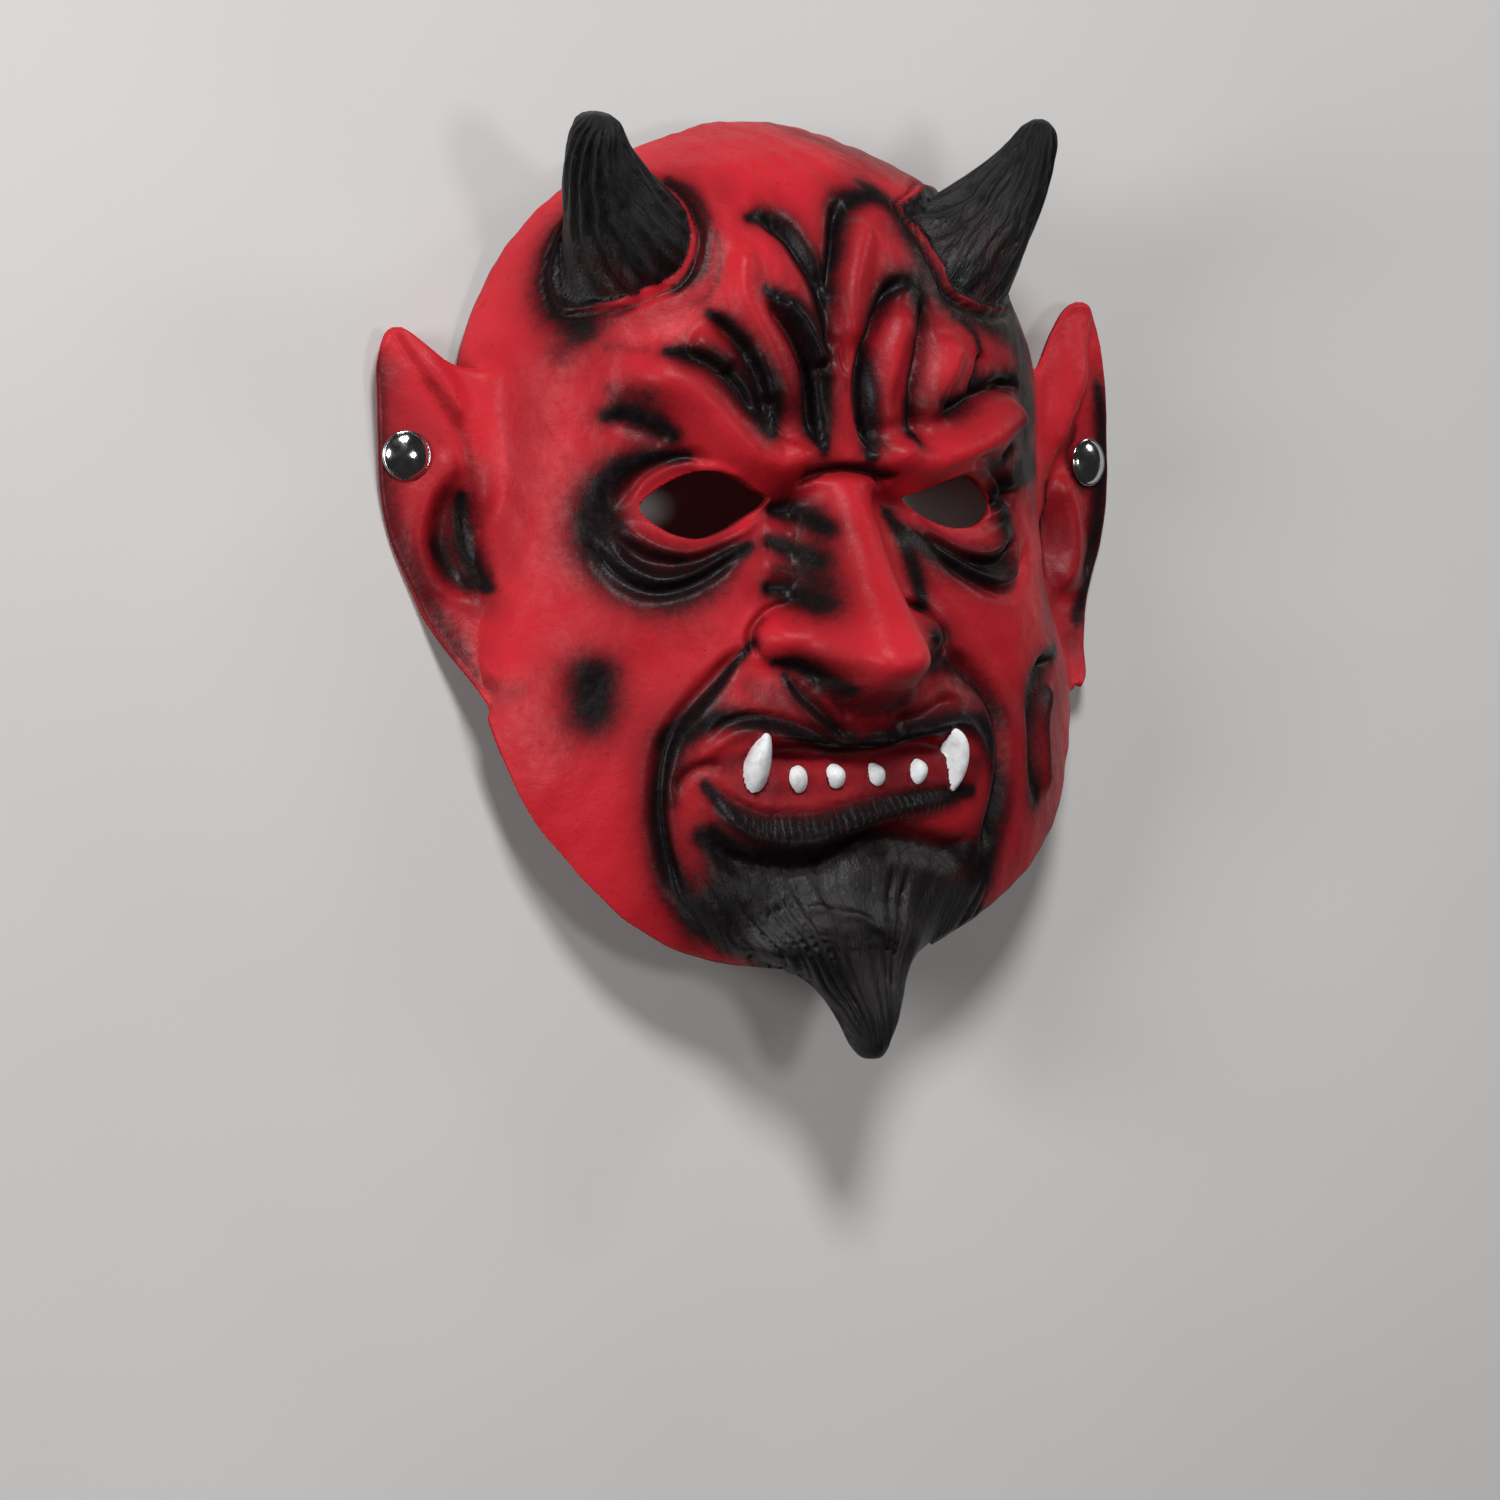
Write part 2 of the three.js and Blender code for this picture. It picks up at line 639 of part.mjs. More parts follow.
// The domed cap, and the post that it grips the latex with.
function studCap() {
  const { capRadius, capHeight, postRadius, gap, lip, ease } = STUD;
  const end = -(EAR_THICKNESS + gap + STUD.postEnd);
  return atStud(
    revolve([
      [0, end],
      [postRadius, end],
      [postRadius, gap],
      [capRadius - ease, gap],
      [capRadius, gap + lip / 2],
      [capRadius, gap + lip],
      ...STUD_DOME.map(([out, up]) => [capRadius * out, gap + capHeight * up]),
    ]),
  );
}

// The socket behind the ear that the strap's stud snaps into.
function studSocket() {
  const { postRadius, gap } = STUD;
  const front = -(EAR_THICKNESS + gap * 2 + SOCKET_BEHIND);
  return atStud(
    revolve([
      [postRadius + gap, front],
      [postRadius + gap, front - SOCKET_DEPTH],
      ...STUD_SOCKET.map(([radius, behind]) => [radius, front - behind]),
      [postRadius + gap, front],
    ]),
  );
}

function studHole() {
  const radius = STUD.postRadius + STUD.gap;
  const ends = [-CUT_REACH, CUT_REACH];
  return atStud(revolve([[0, ends[0]], [radius, ends[0]], [radius, ends[1]], [0, ends[1]]]));
}

// The room for the cap where the ear's rim curls up beside it.
function studRoom() {
  const radius = STUD.capRadius + STUD.gap;
  const ends = [CUT_CLEAR, CUT_REACH];
  return atStud(revolve([[0, ends[0]], [radius, ends[0]], [radius, ends[1]], [0, ends[1]]]));
}

// A closed geometry as a solid that can be joined and cut. mirror makes the mask's right-hand one.
function solid(geometry, mirror = false) {
  const bare = new THREE.BufferGeometry();
  bare.setAttribute("position", geometry.getAttribute("position").clone());
  bare.setIndex(geometry.getIndex());
  const merged = mergeVertices(bare.index ? bare.toNonIndexed() : bare, 1e-4);
  const vertices = merged.getAttribute("position");
  const triangles = Array.from(merged.getIndex().array);
  if (mirror) {
    for (let i = 0; i < vertices.count; i++) vertices.setX(i, -vertices.getX(i));
    for (let i = 0; i < triangles.length; i += 3)
      [triangles[i + 1], triangles[i + 2]] = [triangles[i + 2], triangles[i + 1]];
  }
  return new wasm.Manifold(
    new wasm.Mesh({
      numProp: 3,
      vertProperties: new Float32Array(vertices.array),
      triVerts: new Uint32Array(triangles),
    }),
  );
}

function geometryOf(body) {
  const mesh = body.getMesh();
  const geometry = new THREE.BufferGeometry();
  const vertices = new Float32Array(mesh.vertProperties);
  geometry.setAttribute("position", new THREE.BufferAttribute(vertices, 3));
  geometry.setIndex(new THREE.BufferAttribute(new Uint32Array(mesh.triVerts), 1));
  geometry.computeVertexNormals();
  return geometry;
}

const bothSides = (make) => [solid(make("left")), solid(make("right"), true)];

function maskSkin() {
  let skin = solid(faceBlock()).add(solid(goatee()));
  for (const each of [...bothSides(ear), ...bothSides(horn)]) skin = skin.add(each);
  skin = skin.subtract(solid(hollowBlock()));
  const eyes = EYE_OPENINGS.map((each) => solid(eyeCut(each)));
  for (const each of [...eyes, ...bothSides(studHole), ...bothSides(studRoom)])
    skin = skin.subtract(each);
  return geometryOf(skin.asOriginal().simplify(SHORTEST_DETAIL));
}

function named(name, geometry, material) {
  const mesh = new THREE.Mesh(geometry, material);
  mesh.name = name;
  return mesh;
}

const mask = new THREE.Group();
mask.add(named("latex_mask", maskSkin(), RED));
for (const [side, mirror] of [["left", false], ["right", true]]) {
  mask.add(named("snap_cap_" + side, geometryOf(solid(studCap(), mirror)), STEEL));
  mask.add(named("snap_socket_" + side, geometryOf(solid(studSocket(), mirror)), STEEL));
}

mask.rotation.x = degToRad(REST_LEAN);

// The middle of the lying mask's footprint is the origin.
const lyingMask = new THREE.Group();
lyingMask.add(mask);
const extent = new THREE.Box3().setFromObject(lyingMask, true);
const middle = extent.getCenter(new THREE.Vector3());
mask.position.set(-middle.x, -middle.y, -extent.min.z);

export default lyingMask;
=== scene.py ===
"""A moulded latex devil mask that lies on its back: painted skin, horns, ears, teeth, goatee and two
press studs. Shapes are worked out in millimetres in the mask's own face frame (X towards its left
ear, Y towards the forehead, Z the way the face looks) and then laid on the table, in metres."""

import math

import bmesh
import bpy
import numpy as np
from mathutils import Matrix, Vector, kdtree


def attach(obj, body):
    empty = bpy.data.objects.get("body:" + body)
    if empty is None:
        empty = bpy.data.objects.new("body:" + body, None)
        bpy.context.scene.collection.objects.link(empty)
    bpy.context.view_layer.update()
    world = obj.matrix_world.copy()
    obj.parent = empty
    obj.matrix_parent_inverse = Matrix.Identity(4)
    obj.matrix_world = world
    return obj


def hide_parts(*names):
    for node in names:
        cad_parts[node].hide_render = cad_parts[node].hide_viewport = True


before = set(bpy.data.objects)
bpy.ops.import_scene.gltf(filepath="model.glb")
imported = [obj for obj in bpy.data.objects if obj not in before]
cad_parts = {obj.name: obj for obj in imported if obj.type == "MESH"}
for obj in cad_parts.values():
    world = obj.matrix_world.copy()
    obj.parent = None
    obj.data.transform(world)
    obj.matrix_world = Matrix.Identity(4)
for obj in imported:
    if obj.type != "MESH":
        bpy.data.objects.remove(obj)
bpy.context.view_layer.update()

MM = 0.001
REST_LEAN = math.radians(9.45)
FACE_ORIGIN = (-1.2029, 31.0836, 4.6574)
FACE_TO_TABLE = (
    Matrix.Scale(MM, 4) @ Matrix.Translation(FACE_ORIGIN) @ Matrix.Rotation(REST_LEAN, 4, "X")
)

# The skin is drawn on a sheet wrapped round the face: millimetres across it and along it.
AXIS_Z = -20
AXIS_TOP = 40
AXIS_BOTTOM = -50
ACROSS_RADIUS = 85
ALONG_RADIUS = 80

# How thick the skin is, the least it may be within reach of a fold, and its sheets' steps.
SKIN_THICKNESS = 2.0
LEAST_THICKNESS = 1.3
THICKNESS_REACH = 1.5
SKIN_STEPS = 224
INSIDE_STEPS = 84
# How much closer together the rings of the sheet lie in its middle than at its edge.
CROWDING = 0.32

# The space behind the skin that cuts off the roots of horns, ears and goatee.
ROOT_STEPS = 60
ROOT_DEPTH = 60
ROOT_OVERHANG = 1.06

# The plain form under the carving: along, radius at the front, radius at the side. Its cuts are
# rounded boxes up to the forehead, where they become ellipses.
PLAIN_SECTIONS = [
    (-150, 120, 120),
    (-126, 118, 124),
    (-108, 111, 125),
    (-90, 98, 124),
    (-76, 90, 122),
    (-57, 81, 118),
    (-30, 77, 108),
    (0, 77, 104),
    (40, 76, 103),
    (60, 76.5, 97),
    (80, 78, 93),
    (98, 80, 89),
    (118, 82, 85),
    (165, 82, 82),
]
SQUARENESS = 2.3
SQUARENESS_LOST = 0.3
ROUNDED_OVER = (90, 130)

# The hand-cut edge, from the middle of the forehead down the mask's left side and up its right.
TRIM_EDGE = [
    (0, 150), (46, 147), (71, 139), (97, 119), (111, 98), (122, 70), (123, 44), (117, 0),
    (112, -35), (106, -56), (95, -74), (84, -86), (66, -99), (42, -110), (20, -118), (0, -122),
    (-43, -118), (-68, -108), (-87, -89.5), (-95.5, -76), (-104, -57), (-111, -35), (-117, 0),
    (-123, 44), (-122, 70), (-111, 98), (-97, 119), (-71, 139), (-46, 147),
]

# The nose: along, height over the face, half width.
NOSE_BRIDGE = 2.6
NOSE = [
    (-68, 0, 16),
    (-63, 3, 17),
    (-59, 12, 17),
    (-55, 28, 17.5),
    (-50, 36, 17),
    (-40, 32, 16),
    (-20, 18, 13),
    (0, 6, 10.5),
    (12, 0, 9),
]

# Swellings and hollows: across, along, half width, half height, height.
TWIN_MOUNDS = [
    (44, -2, 24, 11, -7),
    (20, 1, 9, 8, -6),
    (60, -34, 24, 16, 4),
    (25, -42, 9, 8, 10),
    (14, -54, 6, 3, -8),
]
MOUNDS = [
    (0, -64, 44, 9, 6),
    (0, -111, 40, 13, 8),
    (-78, -57, 7, 7, -1.5),
    (-19, -51, 7, 3, -3),
    (-44, 82, 10, 12, 1.5),
    (93, -68, 20, 16, -2.8),
]
INNER_HOLLOWS = [
    (0, 50, 46, 40, -6),
    (0, 10, 20, 10, -3),
    (0, -80, 52, 20, -6.5),
    (-52, -72, 16, 36, -4),
    (52, -70, 16, 36, -4),
    (72, -64, 14, 24, -4),
    (-60, -18, 28, 18, -3.5),
    (60, -18, 28, 18, -3.5),
    (0, -54, 34, 12, -6),
    (-28, -40, 10, 12, -4),
    (28, -40, 10, 12, -4),
    (-75, 76, 34, 32, -3),
    (75, 76, 34, 32, -3),
]

# Folds (height over 0) and furrows (under 0): half width, height, the points they follow.
TWIN_FOLDS = [
    (2.2, 2.6, [(73, -6), (66, -12), (57, -15.5), (48, -14.5), (38, -9.5), (29, -3)]),
    (2.2, -2.6, [(76, -9), (70, -16.5), (62, -19.5), (54, -19), (46, -16), (35, -10)]),
    (1.7, 2.0, [(77, -9), (72, -18), (66, -23), (60, -24.5), (52, -22), (44, -17), (35, -12)]),
    (2.0, -2.4, [(82, -9), (77, -20), (69, -27), (61, -28.5), (53, -26), (45, -21), (37, -16)]),
    (2.2, -3, [(45, 10), (54, 13.5), (63, 11), (71, 5), (76, -4)]),
    (1.6, 1.6, [(34, 5), (42, 8.5), (50, 11), (58, 11), (66, 7), (70, 0)]),
    (1.5, -4, [(18, -32), (26, -32.5), (32, -36), (35.5, -42), (33, -49)]),
]
FOLDS = [
    # brow and forehead, the mask's right
    (8.5, 8.6, [(-78, 38), (-62, 38), (-50, 33), (-42, 24), (-33, 14), (-24, 11), (-17, 15), (-16, 22)]),
    (5.5, 4, [(-22, 22), (-23, 35), (-28, 48), (-35, 60), (-36, 72), (-30, 80)]),
    (3.8, 3, [(-54, 50), (-45, 46), (-40, 41)]),
    (4.6, 4, [(-25, 64), (-17, 57), (-10, 47), (-8, 42)]),
    (3, 2.4, [(-35, 47), (-31, 39), (-28, 30)]),
    (2.2, -4.2, [(-60, 45), (-51, 42.5), (-43, 37), (-38, 31), (-33, 24)]),
    (2.2, -4.6, [(-50, 57), (-43, 52), (-37, 46), (-33, 39), (-31, 31), (-31, 22)]),
    (2.2, -6, [(-30, 63), (-25, 58), (-19, 50), (-15, 42), (-13, 33), (-12, 24), (-11, 15)]),
    (3.4, -4.5, [(-34, 89), (-25, 89), (-18, 85), (-12, 76), (-7, 67), (-5, 58), (-5, 48), (-4, 38)]),
    # brow and forehead, the mask's left
    (8.5, 8.6, [(80, 30), (68, 26), (55, 20), (40, 14), (28, 11), (19, 15), (16, 24)]),
    (5, 4, [(29, 62), (22, 52), (17, 40), (15, 30), (18, 19)]),
    (6, 4, [(22, 92), (13, 82), (6, 70), (3, 58), (2, 46)]),
    (6, 4.5, [(48, 52), (42, 42), (36, 34), (31, 24)]),
    (3, -4, [(14, 101), (7, 92), (2, 82), (-2, 73), (-4, 64)]),
    (1.5, -3, [(-4, 68), (-2, 58), (0, 48), (1.5, 38)]),
    (2.2, -6, [(34, 69), (25, 68), (18, 61), (12, 52), (8, 44), (6.5, 36), (7, 28), (10, 20), (14, 12)]),
    (2.2, -5.4, [(36, 65), (35, 54), (33, 45), (30, 38), (29, 30), (30, 23), (28, 18)]),
    (2.2, -4.8, [(80, 37), (70, 37), (60, 34.5), (50, 31), (42, 28.5), (36, 29.5)]),
    (1.8, -2.6, [(52, 33), (57, 40), (60, 47)]),
    # over the nose, the temples and beside the nose
    (1.7, -5, [(-20, 4), (-13, 8), (0, 9.5), (13, 8.5), (21, 4)]),
    (3, -1.4, [(-77, 25), (-68, 22), (-60, 17)]),
    (3, -3, [(78, 27), (70, 20), (63, 15)]),
    (1.6, -2, [(59, -2), (68, 0), (80, 5)]),
    (2.4, -1, [(-29, -3), (-23, -4), (-17, -5)]),
    (2.4, -0.8, [(-31, -14), (-25, -15), (-18, -17)]),
    (2.6, -1.1, [(-31, -27), (-25, -27.5), (-19, -29)]),
    (2.4, 0.8, [(-30, -9), (-24, -9), (-18, -11)]),
    (2.4, 0.8, [(-31, -21), (-25, -21), (-19, -23)]),
    # cheeks
    (2.4, -4.4, [(-36, -43), (-43, -51), (-51, -59), (-58, -67), (-61, -77), (-61, -88), (-58, -99),
                 (-52, -107)]),
    (2.6, -4.4, [(35, -44), (44, -51), (52, -60), (55, -70), (54, -80), (50, -90), (44, -97)]),
    (2.4, -4, [(88, -48), (78, -52), (71, -61), (69, -72), (69, -84)]),
    (2.4, 2, [(84, -55), (77, -62), (75, -72), (76, -82)]),
    # upper lip, mouth and lower lip
    (2.2, 2.6, [(-52, -76), (-46, -71), (-38, -68), (-20, -70), (0, -73), (20, -69.5), (38, -66.5),
                (50, -77)]),
    (1.5, -2.4, [(-50, -71), (-42, -66), (-33, -64.5), (-22, -67), (-12, -71), (-6, -73)]),
    (1.6, -2.2, [(-25, -53), (-18, -60), (-11, -66), (-5, -71)]),
    (1.5, -1.8, [(-19, -55), (-12, -60), (-4, -65)]),
    (1.6, -2, [(8, -66), (20, -65), (30, -62), (40, -60)]),
    (2.6, -6, [(-44, -76.5), (-26, -74.5), (-10, -76), (0, -76), (12, -75.5), (24, -73), (42, -75)]),
    (3.2, 4.4, [(-48, -82), (-42, -87.5), (-33, -91.5), (-20, -93), (-8, -91.5), (4, -89), (20, -86.5),
                (40, -84.5)]),
    (1.2, -1.6, [(-47, -80), (-40, -85), (-32, -88.5), (-20, -90), (-8, -88.3), (4, -86), (20, -84),
                 (38, -82)]),
    (2.8, -5, [(-50, -90), (-42, -97), (-30, -100.5), (-16, -101), (-4, -98), (8, -95.5), (22, -95.5),
               (36, -96), (44, -90)]),
    (1.6, -2.4, [(-57, -82), (-54, -78), (-49, -76), (-43, -77)]),
]

# The middle of the lower lip, and where it is finely ribbed: its soft edge, middle and half length.
LOWER_LIP = [(-42, -87.5), (-33, -91), (-20, -92.5), (-8, -91), (4, -88.5), (20, -86), (40, -84)]
RIBBED = {"edge": (1.8, 3.2), "middle": -4, "length": 44, "fade": 16}
RIB_PITCH = 2.5

# The thin lips of latex that stand up along one side of the deep furrows.
CREASE_LIPS = [
    (1, 1.1, [(-29, 65), (-24, 57), (-19, 50), (-14.5, 44), (-11.5, 36), (-10.5, 28), (-11, 17)]),
    (0.9, 1, [(-61, 45), (-52, 41.5), (-45, 38), (-41, 34), (-38, 30)]),
    (0.9, 0.9, [(-44, 57), (-39, 51), (-36, 45), (-34, 38), (-31, 30), (-31, 24)]),
    (0.9, 1.1, [(-1, 82), (-3.5, 75), (-4, 67), (-2.5, 60), (-1, 51), (1, 41)]),
    (1, 1.1, [(19, 62), (14, 55), (9, 49), (6.5, 42), (6, 34), (8, 26), (11.5, 20), (15, 12)]),
    (0.9, 1, [(35.5, 52), (34, 44), (31, 37), (29, 30), (30, 22)]),
    (0.9, 0.9, [(38, 28), (45, 29.5), (52, 34), (57, 39)]),
    (0.9, 0.8, [(-12, 40), (-8, 39), (-2, 39)]),
    (0.9, 0.9, [(-46, -77), (-41, -82), (-31, -85.5), (-17, -86.5), (0, -84.5), (16, -83), (30, -81.5),
                (42, -79)]),
    (0.9, 0.9, [(-38, -47), (-45, -54), (-52, -61), (-58, -67)]),
    (0.9, 0.8, [(62, -3.5), (67, -3.5), (72, 0), (80, 5)]),
    (0.8, 0.7, [(-27, -54), (-22, -61), (-14, -67.5), (-6, -73)]),
    (0.8, 0.7, [(-20, -53), (-14, -59.5), (-6, -66)]),
]

# Teeth: across, along, half width, half height, how far they stand out, lean in degrees. Those
# longer than FANG_LENGTH are fangs: the right one is pointed and the left one is hooked.
FANG_LENGTH = 5
FANG_BEND = 2.6
TOOTH_SUNK = 1.2
TOOTH_ROOT = 0.8
GUM_HEIGHT = 1.6
TEETH = [
    (-34, -77, 4.3, 9.6, 5.2, -16),
    (34.2, -76.3, 3, 9.4, 5.2, 2),
    (-21.4, -81.4, 3.3, 3.7, 2.6, 8),
    (-8.6, -81.4, 3.5, 3.2, 2.6, 0),
    (5.8, -81.2, 3.2, 3.1, 2.4, 0),
    (20.8, -80.2, 3, 4, 2.6, -30),
]

# Round the foot of each horn, a bead, a groove and a ring of black: distance out, softness, height.
FOOT_BEAD = (0.7, 1.1, 1.1)
FOOT_GROOVE = (2.8, 1.2, -2)
FOOT_BLACK = (2.8, 1.5, 1)

# Airbrushed black, and under the nose painted shadow, each stroke a strength and points of across,
# along and half width. The same strokes, wider and fainter, leave its haze of black and of dark red.
STROKE_EDGE = 1.08
HAZE_EDGE = 2
HAZE = 0.22
RED_HAZE_EDGE = 2.3
RED_HAZE = 0.9
MOST_SPREAD = 5
AIRBRUSH = [
    # forehead, the mask's right
    (1, [(-34, 89, 2), (-27, 91, 3.6), (-19, 88.5, 5), (-13, 81, 5), (-8, 73, 4.4), (-6.5, 64, 4.6),
         (-7, 54, 4), (-6, 46, 3.2)]),
    (1, [(-8, 40, 3.4), (-9, 32, 4.6), (-9, 24, 4.4), (-9, 17, 2.6)]),
    (1, [(-28, 65, 2.4), (-23, 62, 4.8), (-17, 55, 6.8), (-13, 47, 7), (-12, 39, 6.6), (-13, 30, 6),
         (-12, 23, 5), (-9, 17, 2.4)]),
    (1, [(-60, 45, 1.6), (-54, 44.5, 3.2), (-46, 42, 4.2), (-40, 36.5, 4.8), (-35, 31, 4.8),
         (-31, 25, 4.2), (-29, 22, 2.6)]),
    (1, [(-48, 57, 1.6), (-43, 54.5, 2.8), (-38, 49.5, 3.6), (-34, 43, 4.8), (-29.5, 36, 5.4),
         (-27, 29, 4.6), (-28, 22, 2.6)]),
    (1, [(-77, 26, 2.4), (-72, 27, 4.6), (-65, 24, 5), (-59, 20, 3.4)]),
    (0.35, [(-77, 46, 1.4), (-66, 45.5, 1.8)]),
    (0.4, [(-46, 82, 0.9), (-44.5, 73, 1.1), (-48, 63, 1.2), (-55, 59, 1)]),
    (0.4, [(-76, 34, 3), (-64, 32, 3)]),
    # forehead, the mask's left
    (1, [(31, 99, 2.4), (22, 99.5, 4), (14, 98, 5.6), (8, 93.5, 5.8), (4, 87, 4.8), (1, 80, 4.2),
         (-2.5, 74, 3.8), (-5, 67, 3.8)]),
    (1, [(35, 69, 3.6), (27, 69, 5), (20, 65.5, 5), (14, 59, 4.2), (10, 52, 3.8), (9, 44, 3.4),
         (9, 36, 3.4), (9.5, 28, 3.6), (10, 20, 4.2), (9.5, 14, 2.6)]),
    (1, [(35, 65, 4), (34, 57, 3.8), (31.5, 49, 3.4), (29, 41, 3), (27, 33, 3.4), (27, 25, 4.2),
         (26, 19.5, 2.6)]),
    (1, [(37, 30, 3.4), (43, 29.5, 4.2), (50, 32, 3.6), (57, 36, 3.4), (66, 38.5, 3.2), (78, 39, 3)]),
    (0.8, [(56, 38, 1.3), (58.5, 46, 1.4), (56, 53, 1.4), (49, 58, 1.2)]),
    (0.95, [(66, 15, 4), (70, 21, 6), (76, 27, 7), (86, 30, 7)]),
    # round the horns
    (0.75, [(-67, 100, 2.6), (-57, 96, 3.4), (-51, 88, 3.2), (-50, 78, 2.6), (-51, 70, 2.4),
            (-58, 64, 2.2)]),
    (0.85, [(-84, 51, 4), (-94, 58, 7), (-99, 72, 7), (-97, 88, 4)]),
    (0.5, [(-72, 57, 2), (-82, 52, 4), (-90, 44, 4)]),
    (0.85, [(31, 103, 4.4), (37, 95, 5.4), (40, 84, 6), (42, 74, 5.6), (46, 65, 4.8)]),
    (0.85, [(88, 56, 7), (84, 42, 6), (84, 28, 6), (82, 14, 5)]),
    (0.9, [(46, 64, 3.4), (58, 58, 4.6), (74, 54, 6), (92, 52, 8), (102, 66, 8)]),
    # round the eyes
    (1, [(-55, 13.5, 1.8), (-66, 13, 3.6), (-75, 8, 5), (-80, -2, 6.2), (-79, -13, 7.4),
         (-71, -22, 8.8), (-60, -26.5, 9), (-50, -22.5, 7.6), (-42, -17, 4.8), (-35, -14, 2)]),
    (0.7, [(-58, -18, 3), (-70, -13, 3), (-76, -4, 3)]),
    (1, [(26, -9, 2.6), (34, -13, 4.4), (44, -18, 6), (54, -21, 7.2), (63, -19.5, 7.4), (69, -13, 5.4),
         (71, -6, 4.2), (70, 0, 3)]),
    (0.95, [(61, -1, 2.6), (70, 4, 4.6), (80, 10, 5), (90, 12, 5)]),
    (0.6, [(56, 11, 2), (66, 8, 3), (72, 0, 3)]),
    # nose
    (1, [(-26, -2.5, 2.8), (-20, -3, 4.4), (-14, -5, 4.8), (-10, -8, 3.6)]),
    (0.25, [(-11, -8, 2.6), (-13, -16, 4), (-14.5, -24, 4.6), (-15, -31, 4)]),
    (0.95, [(-28, -12.5, 2.6), (-22, -14.5, 3.8), (-14, -18, 4.6)]),
    (0.5, [(-27, -21, 2), (-19, -22, 3), (-12, -25, 3)]),
    (1, [(-29, -27, 3), (-22, -28, 4.6), (-15, -31, 5)]),
    (0.9, [(-16, 9, 1.2), (-6, 10.5, 1.4), (6, 10.5, 1.4), (18, 8, 1.4)]),
    (0.95, [(23, -4, 2.8), (26, -14, 3.6), (28.5, -24, 3.6), (29, -33, 2.8)]),
    (0.5, [(-31, -36, 0.7), (-34, -40, 0.8), (-33, -46, 0.8), (-29, -50, 0.9)]),
    (1, [(-28, -49.5, 1.4), (-21, -50.5, 2.8), (-15, -54, 3), (-9, -57, 1.6)]),
    # painted shadow under the nose's left side, laid on as black
    (0.8, [(9, -54, 2.4), (18, -51, 4.6), (30, -49.5, 4.6), (40, -51.5, 4.6), (48, -57, 4.4),
           (54, -64, 4.2)]),
    (1, [(24, -42, 3), (35, -42, 3.6)]),
    # cheeks
    (1, [(-35, -44, 1.2), (-41, -51, 1.6), (-47, -58, 2.2), (-53.5, -65, 3), (-58.5, -72, 3.6),
         (-61, -81, 3.4), (-61, -90, 3.4), (-58, -99, 4.4), (-51, -106, 6)]),
    (1, [(46, -67, 3.4), (51, -73, 4.4), (53, -81, 5), (51, -89, 5.4), (46, -97, 5.6)]),
    (1, [(90, -46, 2.4), (81, -50, 3.6), (74, -55.5, 4.2), (69.5, -63, 4), (68, -72, 3.6), (69, -81, 4)]),
    (0.75, [(79, -57, 1.8), (76.5, -66, 2.4), (76, -77, 2)]),
    (1, [(-78, -54, 7), (-77.4, -60, 7)]),
    # upper lip
    (1, [(-59, -69, 3.2), (-52, -66, 3.2), (-45, -64.8, 3), (-37, -65.2, 2.8), (-29, -66.5, 2.4),
         (-20, -69.5, 3), (-11, -73, 3.4), (-3, -73.5, 3.6), (6, -71, 3.8), (15, -69.5, 3.8),
         (25, -67, 3.2), (34, -65.5, 2.8), (42, -66, 3), (48, -69, 3.4)]),
    (0.9, [(-25, -54, 1.8), (-20, -60, 2.8), (-12, -66.5, 3), (-5, -71, 2.6)]),
    # painted shade under the tip of the nose
    (0.5, [(-17, -55, 2), (-9, -60, 3), (2, -63, 3.4), (12, -60, 3)]),
    (0.35, [(14, -64, 3), (28, -61, 3), (38, -60, 3)]),
    (0.5, [(-57, -83, 1.4), (-55, -77, 1.8), (-49, -75, 1.2)]),
    # lower lip and chin
    (1, [(-49, -80, 1.4), (-43, -85.5, 2.6), (-33, -90.5, 3.4), (-20, -92, 3.6), (-8, -90.6, 3.4),
         (4, -88, 3), (18, -85.6, 2.8), (30, -84.4, 2.6), (41, -82.5, 1.8)]),
    (0.95, [(-47, -90, 2), (-37, -95.5, 2.6), (-22, -97, 3), (-8, -95.5, 2.6), (2, -93, 1.6)]),
    (1, [(-50, -91, 2.4), (-40, -98, 4.2), (-26, -101, 4.2), (-12, -100, 3.8), (0, -97.5, 3.8),
         (16, -98, 3.2), (30, -98.5, 3), (42, -96, 2.4)]),
    (0.9, [(-44, -103, 6), (-20, -108, 10), (10, -108, 11), (34, -106, 8), (46, -101, 5)]),
    (1, [(-34, -104, 3), (-14, -105, 4), (8, -102, 4), (26, -102, 3)]),
]
